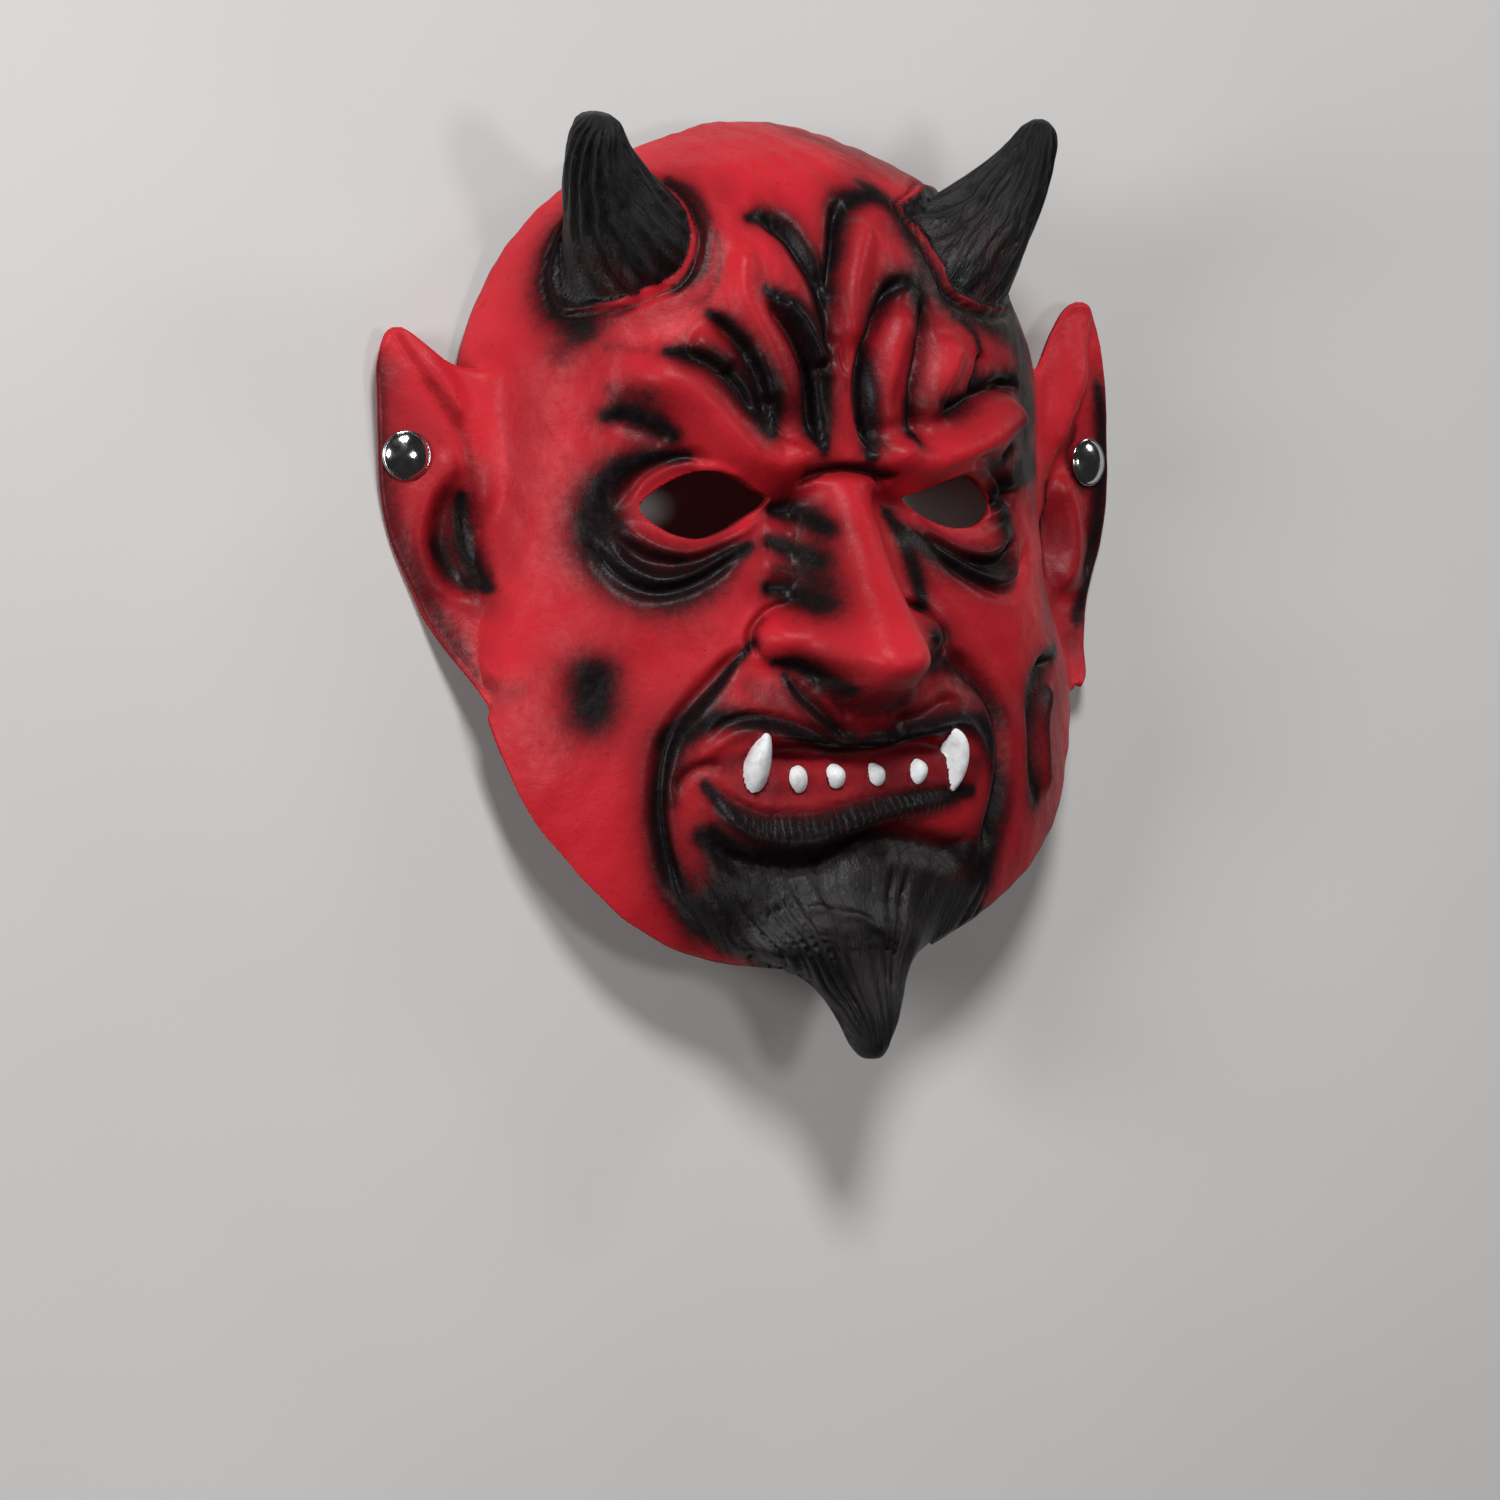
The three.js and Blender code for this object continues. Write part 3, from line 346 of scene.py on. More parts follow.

# Dark red, in the same form: partly the airbrushed dark red of the paint, partly painted shade where the
# light falls off over the top of the forehead and down the far cheek, and in the hollows under the nose,
# in the mouth and under the ear.
SHADING = [
    (1, [(-46, -76, 4), (-26, -75, 5), (0, -77, 5.4), (24, -75, 5), (44, -76, 4)]),
    (0.9, [(-40, -82, 4), (-10, -84, 4.4), (20, -82, 4.4), (42, -80, 4)]),
    # painted shade under the nose, down to the lip
    (0.85, [(-26, -58, 5), (-8, -61, 8), (12, -61, 9), (32, -58, 8)]),
    (0.8, [(-36, -56, 4), (-32, -60, 6), (-22, -62, 6)]),
    (0.7, [(-25, -8, 6), (-22, -22, 8), (-20, -31, 5)]),
    (0.7, [(30, 90, 8), (38, 78, 9), (41, 64, 8)]),
    (0.45, [(-44, 98, 8), (-52, 84, 6), (-50, 66, 6), (-70, 54, 6)]),
    (0.8, [(-44, 50, 5), (-34, 36, 8), (-30, 26, 6)]),
    (0.8, [(-3, 62, 4), (0, 47, 3.4), (1, 36, 2.4)]),
    (0.8, [(64, 22, 8), (80, 20, 9), (90, 0, 9)]),
    (0.6, [(60, -60, 8), (66, -80, 9), (60, -96, 9)]),
    (0.6, [(-56, -84, 6), (-54, -96, 6)]),
    (0.75, [(8, -93, 2.6), (24, -93, 3.4), (40, -91, 4)]),
    # painted shade down the far cheek, which turns away from the light
    (0.75, [(92, -30, 10), (86, -60, 11), (80, -84, 11)]),
    (0.45, [(16, -2, 5), (20, -16, 7), (24, -32, 7)]),
    (0.35, [(-96, 40, 9), (-100, 10, 8), (-104, -20, 8)]),
    # painted shade in the crease where the ear's lobe meets the cheek
    (0.5, [(-110, -56, 3), (-102, -57, 4), (-94, -56, 3)]),
    # painted shade over the top of the forehead, where the light falls off
    (0.8, [(28, 138, 11), (52, 126, 13), (78, 111, 12), (95, 97, 8)]),
    (0.55, [(34, 108, 9), (50, 112, 12), (70, 112, 12)]),
    (0.4, [(50, 46, 9), (60, 50, 8)]),
]

# Horns: x, y, z of the middle, radius, from inside the skin to the tip. The foot flares between two
# shares of a horn's length.
HORN_LEAVES_SKIN = 0.15
HORN_IS_ROUND = 0.42
FLUTE_DEPTH = 1.9
HORN_UNEVENNESS = 0.35
HORNS = {
    "left": [
        (49, 63, 14, 20.5),
        (54.5, 71.5, 20, 20.8),
        (60, 79.8, 26, 19.4),
        (65.3, 87.5, 29.3, 16.2),
        (70.5, 94.8, 32.2, 13.2),
        (75.3, 103, 36, 10),
        (78.2, 110.5, 39.3, 7.7),
        (79.6, 116.5, 41.9, 5.7),
        (80.1, 120, 43.2, 3.3),
        (80.2, 121.2, 43.6, 0.2),
    ],
    "right": [
        (49, 63, 14, 20.5),
        (54.5, 71.5, 20, 20.8),
        (60, 79.8, 26, 19.8),
        (65.3, 87.5, 29.3, 17),
        (70.5, 94.8, 32.2, 14),
        (75.3, 103, 36, 11),
        (78, 109.6, 39, 8.7),
        (79.4, 114.6, 41.2, 7),
        (79.9, 117.6, 42.6, 4.4),
        (80, 118.8, 43, 0.2),
    ],
}
# The foot of each horn on the skin, across and along, round this middle, and its depth in the skin.
HORN_MIDDLE = (75, 79)
HORN_FOOT_SUNK = 0.5
HORN_FEET = {
    "left": [(42.5, 93.5), (45.2, 87), (47, 80), (49, 72), (51, 66), (61, 61.5), (75, 59.5), (89, 62),
             (98, 72), (97, 86), (88, 96), (74, 99), (57, 97)],
    "right": [(67, 95.5), (60, 90.5), (56.2, 85.5), (54.8, 79.5), (56, 73), (60.5, 67), (71, 61.5),
              (83, 57.5), (93, 58), (98, 70), (96, 85), (88, 95), (77, 98.5)],
}

# Goatee: height, middle across, middle's distance in front, half width, half depth. Its back is
# flat down to where it hangs free.
GOATEE_FLAT_BACK = 0.1
GOATEE_HANGS_FREE = (140, 153)
GOATEE = [
    (-116, 0, 49, 22, 8),
    (-121, -1, 50, 32, 17.5),
    (-127, -2, 51, 36, 21.5),
    (-134, -4, 53.5, 36, 20),
    (-139, -5.5, 57.5, 31.5, 16),
    (-143, -3.5, 61, 23.6, 12.8),
    (-147.7, -1, 64, 17.2, 10.5),
    (-153, 0.4, 66.5, 13.4, 9.2),
    (-160, 0.4, 69.5, 9.9, 7.5),
    (-167, -0.1, 71.7, 6.8, 5.6),
    (-170, 0, 72.4, 4.8, 4.2),
    (-171.6, 0, 72.8, 2.8, 2.6),
    (-172, 0, 72.9, 0.2, 0.2),
]

# Ears: height, inner edge, outer edge, distance in front.
EAR_ROWS = {
    "left": [
        (-59, 104, 112, 16),
        (-54, 100, 116, 14),
        (-44, 98, 118, 10),
        (-28, 97, 123, 6),
        (-13, 96, 130, 4),
        (2, 96, 133.4, 3.5),
        (18, 96, 134, 3.2),
        (30, 94, 134, 2.8),
        (36, 95, 134, 2.4),
        (41, 100, 133.9, 1.8),
        (47.4, 105, 133.5, 0.9),
        (55.5, 110.6, 132.4, -0.2),
        (60, 114.3, 131.2, -0.8),
        (63, 117.4, 129.8, -1.1),
        (65, 120.6, 127.6, -1.3),
        (65.8, 123, 125.8, -1.4),
    ],
    "right": [
        (-74, 91.5, 99, 23),
        (-66, 94, 105, 21.2),
        (-59, 95.5, 108, 18.6),
        (-52, 97, 111.8, 15),
        (-44, 98, 116, 11),
        (-28, 97, 122.5, 6),
        (-13, 96, 128.2, 4),
        (2, 96, 131, 3.5),
        (18, 96, 131.6, 3.2),
        (30, 96, 131.6, 2.8),
        (37, 97, 131.5, 2),
        (40.5, 104.5, 131.2, 1.4),
        (43, 111, 130.7, 0.9),
        (46.4, 115.2, 129.8, 0.2),
        (50, 119, 128.5, -0.6),
        (52.2, 121.6, 127.2, -1),
        (53.6, 123.8, 125.6, -1.2),
    ],
}
EAR_THICKNESS = 2.6
EAR_ROUNDING = 1.3
EAR_LEAN = -0.28
EAR_MIDDLE = 114
EAR_OVER_TABLE = 0.3
EAR_FOLDS = {
    "left": [
        (5, 5, [(107, 8), (113, 3), (116, -9), (114, -20), (107, -29)]),
        (1.2, -1, [(122, -2), (125, -12), (121, -24)]),
    ],
    "right": [
        (4.5, 2.4, [(106, 12), (113, 9), (120, -2), (121.5, -14), (118, -24), (112, -30)]),
        (2.4, 2.4, [(117, -24), (110, -30), (102, -32), (95, -37)]),
        (1, 1.1, [(107.6, 0), (108, -8), (106.5, -15), (103.5, -22), (101, -26)]),
    ],
}
# The broad leaf of the ear that runs from its tip to the face: height, its outer edge.
EAR_LEAF = {
    "left": [(-14, 97), (-2.5, 102.3), (9.5, 105.5), (19, 110.5), (27, 115.6), (40.5, 123), (50, 125),
             (62, 129)],
    "right": [(-20, 99), (-3, 102.3), (7, 103.8), (18, 105.5), (26, 110), (37, 117), (46, 122), (54, 126)],
}
EAR_LEAF_FORM = {
    "left": {"height": 5, "soft": 1.7, "fall": 15, "foot": (-16, -4)},
    "right": {"height": 5, "soft": 1.6, "fall": 14, "foot": (-14, 0)},
}
EAR_PITS = {"left": (102.5, -9, 4.5, 15, -3.5), "right": (108.5, -12, 8.5, 17, -5)}
EAR_HEEL = (118, -31, 10, 12, -3)
EAR_BACK_RELIEF = {"raised": 0.6, "sunk": 0.8}
EAR_STEPS = (40, 76)

# Black and dark red on the ears, painted as shadow in their hollows and along their edges: strokes in
# x and y, seen from the front, and where they begin.
EARS_BEGIN = 95
EAR_SHADE_BEGINS = (94, 102)
EAR_BLACK = {
    "right": [
        (1, [(106, 2, 2.6), (105.4, -6, 4.2), (104.4, -14, 4.4), (102.8, -21, 3.6), (101.2, -27, 2.2)]),
        (0.6, [(111, 3, 3), (113, -6, 4.6), (113.5, -13, 5)]),
        (0.9, [(112.5, -15, 4.6), (110, -21, 5.2), (105, -26, 3.6)]),
        (0.6, [(131, 46, 3), (132, 30, 4), (131, 10, 5), (128.5, -8, 5.4), (122, -24, 5.6),
               (114, -42, 5), (107, -56, 4)]),
        (0.45, [(118, 38, 1.6), (111, 28, 2), (106.5, 19, 2), (104.5, 8, 1.8)]),
    ],
    "left": [
        (1, [(103, 6, 2.4), (102, -5, 3), (102, -16, 3), (102, -26, 2)]),
        (0.9, [(130, 38, 3.4), (131, 24, 5), (130, 8, 7), (128, -8, 6), (123, -22, 5), (116, -36, 4)]),
        (0.75, [(119, 25, 1.8), (115, 15, 2.6), (121, 7, 4)]),
    ],
}
EAR_SHADE = [
    (0.8, [(130, 40, 6), (132, 10, 8), (124, -20, 8), (112, -44, 7)]),
    (0.85, [(106, 4, 8), (109, -14, 11), (104, -30, 7)]),
    (0.5, [(122, 18, 11), (122, 12, 11)]),
]

# The combing of the beard: its tip, where its middle line sways, its half width at each height
# over the tip, and how high the strands stand.
BEARD_TIP = (2, -172)
BEARD_SWAY = 30
STRAND_HEIGHT = 2
BEARD_WIDTH = [
    (0, 0.9),
    (3, 7.5),
    (8, 12),
    (16, 17),
    (22, 22),
    (30, 28),
    (37, 33),
    (55, 42),
    (75, 52),
    (90, 56),
]
# The step where the upper hair overhangs the lower, in x and y.
BEARD_LEDGE = [(-26, -125), (-18, -125.8), (-10, -126.9), (-3.4, -128.8), (3.8, -132.8), (7.4, -139)]
LEDGE_HEIGHT = 0.9
LEDGE_SOFTNESS = 1.6
LEDGE_REACH = 5
# The edges of the hair painted on the chin, above and below, across and along.
BEARD_EDGE = [(-64, -114), (-57, -105), (-50, -100), (-36, -99), (-16, -100), (4, -99), (22, -100),
              (38, -101), (48, -104), (60, -110)]
BEARD_FOOT = [(-68, -98), (-60, -105), (-53, -110.5), (-46, -114.5), (-38, -118), (-30, -124),
              (-20, -150), (20, -150), (32, -122), (42, -114), (52, -107), (60, -100)]

# The eye openings, seen from the front, and the distances in front between which they are cut.
EYE_CUT = (10, 80)
EYE_OPENINGS = [
    [(24, 1), (32, -4), (42, -7.5), (50, -8), (57, -6.5), (61.5, -2.5), (60.5, 2), (54, 6.8), (46, 8.7),
     (38, 6.8), (30, 3.5)],
    [(-23, 0.5), (-31, -5), (-39, -9.5), (-47, -11.8), (-55, -10.5), (-62, -6), (-64.5, -2), (-61, 2.5),
     (-53, 7.5), (-45, 9.3), (-37, 7.5), (-29, 3.5)],
]

# The press studs: place on the ear, the flat seat pressed in it, and radii, gaps and heights.
STUD = {
    "x": 123.8,
    "y": 14,
    "seat": 8.1,
    "press": 1.7,
    "cap": 7.7,
    "lip": 0.5,
    "dome": 2.0,
    "post": 1.8,
    "post_end": 1.9,
    "gap": 0.3,
    "plate": 3.2,
}
# A stud's socket behind the ear: radius, and height from the face that lies on the ear.
SOCKET_OFF_EAR = 0.6
SOCKET_GROOVE = [(3.6, -1.8), (3.9, -1.3), (4.6, -1.3), (4.9, -1.8)]
SOCKET_RIM = [(6.1, -0.4), (5.7, 0)]

# How glossy the red, the airbrushed black and the combed black are, and the colours: those of the paints,
# with RED_DARK also laid on as painted shade and BEARD_SHEEN a painted sheen on raised strands and grain.
GLOSS = 0.17
DULL = 0.11
SATIN = 0.3
RED = (0.52, 0.014, 0.024, 1)
RED_PALE = (0.6, 0.02, 0.032, 1)
RED_DEEP = (0.155, 0.004, 0.009, 1)
RED_DARK = (0.05, 0.004, 0.006, 1)
RED_UNDER_BLACK = (0.1, 0.008, 0.011, 1)
GUM_RED = (0.11, 0.008, 0.014, 1)
INSIDE_RED = (0.34, 0.014, 0.02, 1)
INSIDE_RED_DEEP = (0.25, 0.01, 0.016, 1)
CHARCOAL = (0.004, 0.0035, 0.004, 1)
SOOT = (0.012, 0.005, 0.006, 1)
BEARD_SHEEN = (0.009, 0.008, 0.009, 1)
TOOTH_PAINT = (0.83, 0.84, 0.85, 1)
TOOTH_GREY = (0.62, 0.6, 0.6, 1)
CHROME = (0.56, 0.56, 0.57, 1)
PAPER = (0.6, 0.59, 0.58, 1)
PAPER_LIGHT = (0.64, 0.63, 0.62, 1)

# The camera: what it looks at in the face frame, from how far, and how far round and up.
AIM = (-24.3, -77, 40)
VIEW_TURN = math.radians(30)
VIEW_RISE = math.radians(1)
VIEW_DISTANCE = 2600
LENS = 201.3
FILM_WIDTH = 36

# The lamps: place and width in metres, and watts.
LAMPS_AIM = (0, 0, 0.04)
LAMPS = {
    "key": ((-0.35, 0.95, 1.25), 0.45, 17),
    "front": ((0.15, -0.2, 1.7), 0.3, 4),
    "side": ((-1.75, 0.1, 0.85), 0.6, 16),
    "rim": ((1.3, 0.7, 0.8), 0.35, 3.5),
}
WORLD_LIGHT = 0.03


def smooth_line(points, steps=5, closed=False):
    """The points joined by a smooth curve."""
    p = np.array(points, float)
    if closed:
        p = np.vstack([p[-1], p, p[0], p[1]])
    else:
        p = np.vstack([2 * p[0] - p[1], p, 2 * p[-1] - p[-2]])
    t = np.arange(steps)[:, None] / steps
    parts = []
    for a, b, c, d in zip(p[:-3], p[1:-2], p[2:-1], p[3:]):
        bend = 2 * a - 5 * b + 4 * c - d
        twist = 3 * b - a - 3 * c + d
        parts.append((2 * b + (c - a) * t + bend * t**2 + twist * t**3) / 2)
    if not closed:
        parts.append(p[-2:-1])
    return np.vstack(parts)


def read_table(rows, value, column):
    """A column of a table, read smoothly at values of its first column."""
    rows = np.array(sorted(rows), float)
    x, y = rows[:, 0], rows[:, column]
    slope = np.empty(len(x))
    slope[1:-1] = (y[2:] - y[:-2]) / (x[2:] - x[:-2])
    slope[0] = (y[1] - y[0]) / (x[1] - x[0])
    slope[-1] = (y[-1] - y[-2]) / (x[-1] - x[-2])
    i = np.clip(np.searchsorted(x, value, side="right") - 1, 0, len(x) - 2)
    run = x[i + 1] - x[i]
    t = np.clip((value - x[i]) / run, 0, 1)
    return (
        y[i] * (1 + 2 * t) * (1 - t) ** 2
        + run * slope[i] * t * (1 - t) ** 2
        + y[i + 1] * t**2 * (3 - 2 * t)
        + run * slope[i + 1] * t**2 * (t - 1)
    )


def ease(value, low, high):
    """0 below low, 1 over high and a soft step between."""
    t = np.clip((value - low) / (high - low), 0, 1)
    return t * t * (3 - 2 * t)


def mound(x, y, spot):
    """A round swelling or hollow."""
    cx, cy, half_width, half_height, height = spot
    return height * np.exp(-(((x - cx) / half_width) ** 2) - ((y - cy) / half_height) ** 2)


def along_line(x, y, line, reach):
    """For the points within reach of a line: which they are, their distance from it, their share
    of its length, and the line's further columns there."""
    low, high = line[:, :2].min(0) - reach, line[:, :2].max(0) + reach
    near = np.flatnonzero((x > low[0]) & (x < high[0]) & (y > low[1]) & (y < high[1]))
    px, py = x[near], y[near]
    best = np.full(len(near), np.inf)
    share = np.zeros(len(near))
    extra = np.zeros((len(near), line.shape[1] - 2))
    last = len(line) - 1
    for i, (a, b) in enumerate(zip(line[:-1], line[1:])):
        dx, dy = b[:2] - a[:2]
        t = np.clip(((px - a[0]) * dx + (py - a[1]) * dy) / (dx * dx + dy * dy), 0, 1)
        distance = np.hypot(px - a[0] - t * dx, py - a[1] - t * dy)
        closer = distance < best
        best = np.where(closer, distance, best)
        share = np.where(closer, (i + t) / last, share)
        extra[closer] = a[2:] + t[closer, None] * (b[2:] - a[2:])
    return near, best, share, extra


def fold_heights(x, y, folds, mirror=1):
    """The height that all the folds add: full along each line and tapering at its ends."""
    total = np.zeros(len(x))
    for half_width, height, points in folds:
        line = smooth_line([(mirror * px, py) for px, py in points])
        near, distance, share, _ = along_line(x, y, line, 3 * half_width)
        taper = ease(share, 0, 0.18) * ease(1 - share, 0, 0.18)
        width = half_width * (0.55 + 0.45 * taper)
        total[near] += height * taper * np.exp(-((distance / width) ** 2))
    return total


def foot_ring(off, form):
    """A soft ring round the foot of a horn."""
    middle, softness, height = form
    return height * np.exp(-(((off - middle) / softness) ** 2))


def brushed(x, y, strokes, spread_by=1):
    """How much paint the strokes leave, from 0 to 1."""
    bare = np.ones(len(x))
    for strength, points in strokes:
        line = smooth_line(points)
        line[:, 2] = np.minimum(spread_by * line[:, 2], line[:, 2] + MOST_SPREAD)
        near, distance, _, width = along_line(x, y, line, 2.2 * line[:, 2].max())
        bare[near] *= 1 - strength * np.exp(-((distance / width[:, 0]) ** 2))
    return 1 - bare


def ripple(x, y, size, seed):
    """Smooth unevenness, about -1 to 1, made of a few waves that cross each other."""
    waves = np.random.default_rng(seed).uniform(0, 2 * math.pi, (7, 2))
    total = np.zeros_like(x, dtype=float)
    for k, (turn, phase) in enumerate(waves):
        pitch = size * (0.55 + 0.17 * k)
        total += np.sin((x * math.cos(turn) + y * math.sin(turn)) * 2 * math.pi / pitch + phase)
    return total / 3.5


def nose_height(across, along, inset):
    """How far the nose stands out, its sides moved in by the inset."""
    height = np.maximum(0, read_table(NOSE, along, 1))
    width = read_table(NOSE, along, 2) - inset
    return height * np.exp(-(np.abs(across / width) ** NOSE_BRIDGE))


def foot_reach(side):
    """The outline of a horn's foot as angles round its middle and lengths."""
    line = smooth_line(HORN_FEET[side], 8, closed=True) - np.array(HORN_MIDDLE)
    angle = np.arctan2(line[:, 1], line[:, 0])
    order = np.argsort(angle)
    return angle[order], np.hypot(*line.T)[order]


foot_reaches = {side: foot_reach(side) for side in HORN_FEET}


def off_horn(across, along):
    """How far outside the foot of a horn a point of the skin is; it is negative inside."""
    x, y = np.abs(across) - HORN_MIDDLE[0], along - HORN_MIDDLE[1]
    angle = np.arctan2(y, x)
    reach = [np.interp(angle, *foot_reaches[side], period=2 * math.pi) for side in ("left", "right")]
    return np.hypot(x, y) - np.where(across > 0, *reach) + 0.4 * ripple(across, along, 21, 5)


def carving(across, along):
    """How far the face stands over its plain form."""
    height = nose_height(across, along, 0)
    for spot in TWIN_MOUNDS:
        height += mound(np.abs(across), along, spot)
    for spot in MOUNDS:
        height += mound(across, along, spot)
    height += fold_heights(across, along, FOLDS)
    height += fold_heights(across, along, TWIN_FOLDS) + fold_heights(across, along, TWIN_FOLDS, -1)
    off = off_horn(across, along)
    height += foot_ring(off, FOOT_BEAD) + foot_ring(off, FOOT_GROOVE)
    height -= ease(-off, 0, 3)
    height += fold_heights(across, along, CREASE_LIPS)
    narrowing = np.cos((along - np.clip(along, AXIS_BOTTOM, AXIS_TOP)) / ALONG_RADIUS)
    aside = across * narrowing
    return height + 0.24 * ripple(aside, along, 17, 3) + 0.12 * ripple(aside, along, 11, 4)


def inner_carving(across, along):
    """The same for the inside, which follows the large forms only."""
    height = nose_height(across, along, SKIN_THICKNESS * 0.6)
    for spot in TWIN_MOUNDS:
        height += mound(np.abs(across), along, spot)
    for spot in MOUNDS + INNER_HOLLOWS:
        height += mound(across, along, spot)
    return height


def plain_radius(across, along):
    """The plain form's distance from its axis."""
    turn = across / ACROSS_RADIUS
    front = read_table(PLAIN_SECTIONS, along, 1)
    side = read_table(PLAIN_SECTIONS, along, 2)
    power = SQUARENESS - SQUARENESS_LOST * ease(along, *ROUNDED_OVER)
    both = np.abs(np.sin(turn) / side) ** power + np.abs(np.cos(turn) / front) ** power
    return both ** (-1 / power)


def on_ray(across, along, radius):
    """A place on the drawing of the skin as a point of the face frame."""
    turn = across / ACROSS_RADIUS
    start = np.clip(along, AXIS_BOTTOM, AXIS_TOP)
    rise = (along - start) / ALONG_RADIUS
    return np.stack(
        [
            radius * np.sin(turn) * np.cos(rise),
            start + radius * np.sin(rise),
            AXIS_Z + radius * np.cos(turn) * np.cos(rise),
        ],
        -1,
    )


def across_and_along(points):
    """Where the ray through each point meets the drawing of the skin."""
    x, y, z = points.T
    start = np.clip(y, AXIS_BOTTOM, AXIS_TOP)
    rise = np.arctan2(y - start, np.hypot(x, z - AXIS_Z))
    return ACROSS_RADIUS * np.arctan2(x, z - AXIS_Z), start + ALONG_RADIUS * rise


trim_line = smooth_line(TRIM_EDGE, 12, closed=True)
trim_angle = np.arctan2(trim_line[:, 0], trim_line[:, 1])
trim_order = np.argsort(trim_angle)
trim_angle = trim_angle[trim_order]
trim_length = np.hypot(*trim_line.T)[trim_order]


def inside_trim(u, v, overhang=1):
    """A square of -1 to 1 spread over the area inside the trimmed edge, in rings."""
    x, y = u * np.sqrt(1 - v * v / 2), v * np.sqrt(1 - u * u / 2)
    ring = np.hypot(x, y)
    angle = np.arctan2(x, y)
    reach = np.interp(angle, trim_angle, trim_length, period=2 * math.pi)
    reach = reach * ring * (1 - CROWDING + CROWDING * ring) * overhang
    return reach * np.sin(angle), reach * np.cos(angle)


def points_of(verts):
    return np.array([v.co for v in verts])


def place(verts, points):
    for vert, point in zip(verts, points):
        vert.co = point


def object_of(name, bm):
    """A bmesh as an object, its faces turned outwards."""
    bmesh.ops.recalc_face_normals(bm, faces=bm.faces)
    mesh = bpy.data.meshes.new(name)
    bm.to_mesh(mesh)
    bm.free()
    thing = bpy.data.objects.new(name, mesh)
    bpy.context.scene.collection.objects.link(thing)
    return thing


def shade_smooth(mesh):
    mesh.polygons.foreach_set("use_smooth", [True] * len(mesh.polygons))


def sheet(bm, steps_across, steps_along):
    """A flat grid: its vertices, and their places from -1 to 1."""
    made = bmesh.ops.create_grid(bm, x_segments=steps_across, y_segments=steps_along, size=1)
    return made["verts"], *points_of(made["verts"]).T[:2]


# The mask's surfaces, each a material slot of its own.
SKIN, INSIDE, HORN, BEARD, TOOTH, EAR, EAR_BACK = SURFACES = range(7)


def mark_faces(faces, surface):
    for face in faces:
        face.material_index = surface


def verts_in(geometry):
    return [item for item in geometry if isinstance(item, bmesh.types.BMVert)]


def surfaces_at(item):
    """The surfaces that a vertex or an edge belongs to."""
    return {face.material_index for face in item.link_faces}


def skin_shell():
    """The face: the carved outside and the plainer inside, joined round the trimmed edge."""
    bm = bmesh.new()
    verts, u, v = sheet(bm, SKIN_STEPS, SKIN_STEPS)
    across, along = inside_trim(u, v)
    place(verts, on_ray(across, along, plain_radius(across, along) + carving(across, along)))
    outside = set(bm.faces)
    verts, u, v = sheet(bm, INSIDE_STEPS, INSIDE_STEPS)
    across, along = inside_trim(u, v)
    plain = plain_radius(across, along)
    inner = plain - SKIN_THICKNESS + inner_carving(across, along)
    for aside, ahead in ((0, 0), (1, 0), (-1, 0), (0, 1), (0, -1)):
        beside = carving(across + THICKNESS_REACH * aside, along + THICKNESS_REACH * ahead)
        outer = plain + beside
        inner = np.minimum(inner, outer - LEAST_THICKNESS)
    place(verts, on_ray(across, along, inner))
    bmesh.ops.bridge_loops(bm, edges=[edge for edge in bm.edges if edge.is_boundary])
    mark_faces(bm.faces, INSIDE)
    mark_faces(outside, SKIN)
    return object_of("mask_skin", bm)


def root_cutter():
    """What the roots of the horns, the ears and the goatee are cut off by: the space behind the
    middle of the skin."""
    bm = bmesh.new()
    verts, u, v = sheet(bm, ROOT_STEPS, ROOT_STEPS)
    across, along = inside_trim(u, v, ROOT_OVERHANG)
    radius = plain_radius(across, along) + inner_carving(across, along) - SKIN_THICKNESS / 2
    place(verts, on_ray(across, along, radius))
    deep = bmesh.ops.extrude_face_region(bm, geom=bm.faces[:])["geom"]
    place(verts_in(deep), on_ray(across, along, radius - ROOT_DEPTH))
    mark_faces(bm.faces, INSIDE)
    return object_of("root_cutter", bm)


def off_poles(share):
    """1 along a ball and 0 at its two poles, where its rings close."""
    return np.where((share < 1e-6) | (share > 1 - 1e-6), 0, 1)


def horn_foot(side, middle, across, over):
    """The outline of a horn's foot in the skin, by its angle round the horn's axis."""
    s, t = smooth_line(HORN_FEET[side], 8, closed=True).T
    outline = on_ray(s, t, plain_radius(s, t) - HORN_FOOT_SUNK)
    away = outline - middle
    angle = np.arctan2(away @ across, away @ over)
    order = np.argsort(angle)
    return angle[order], outline[order]


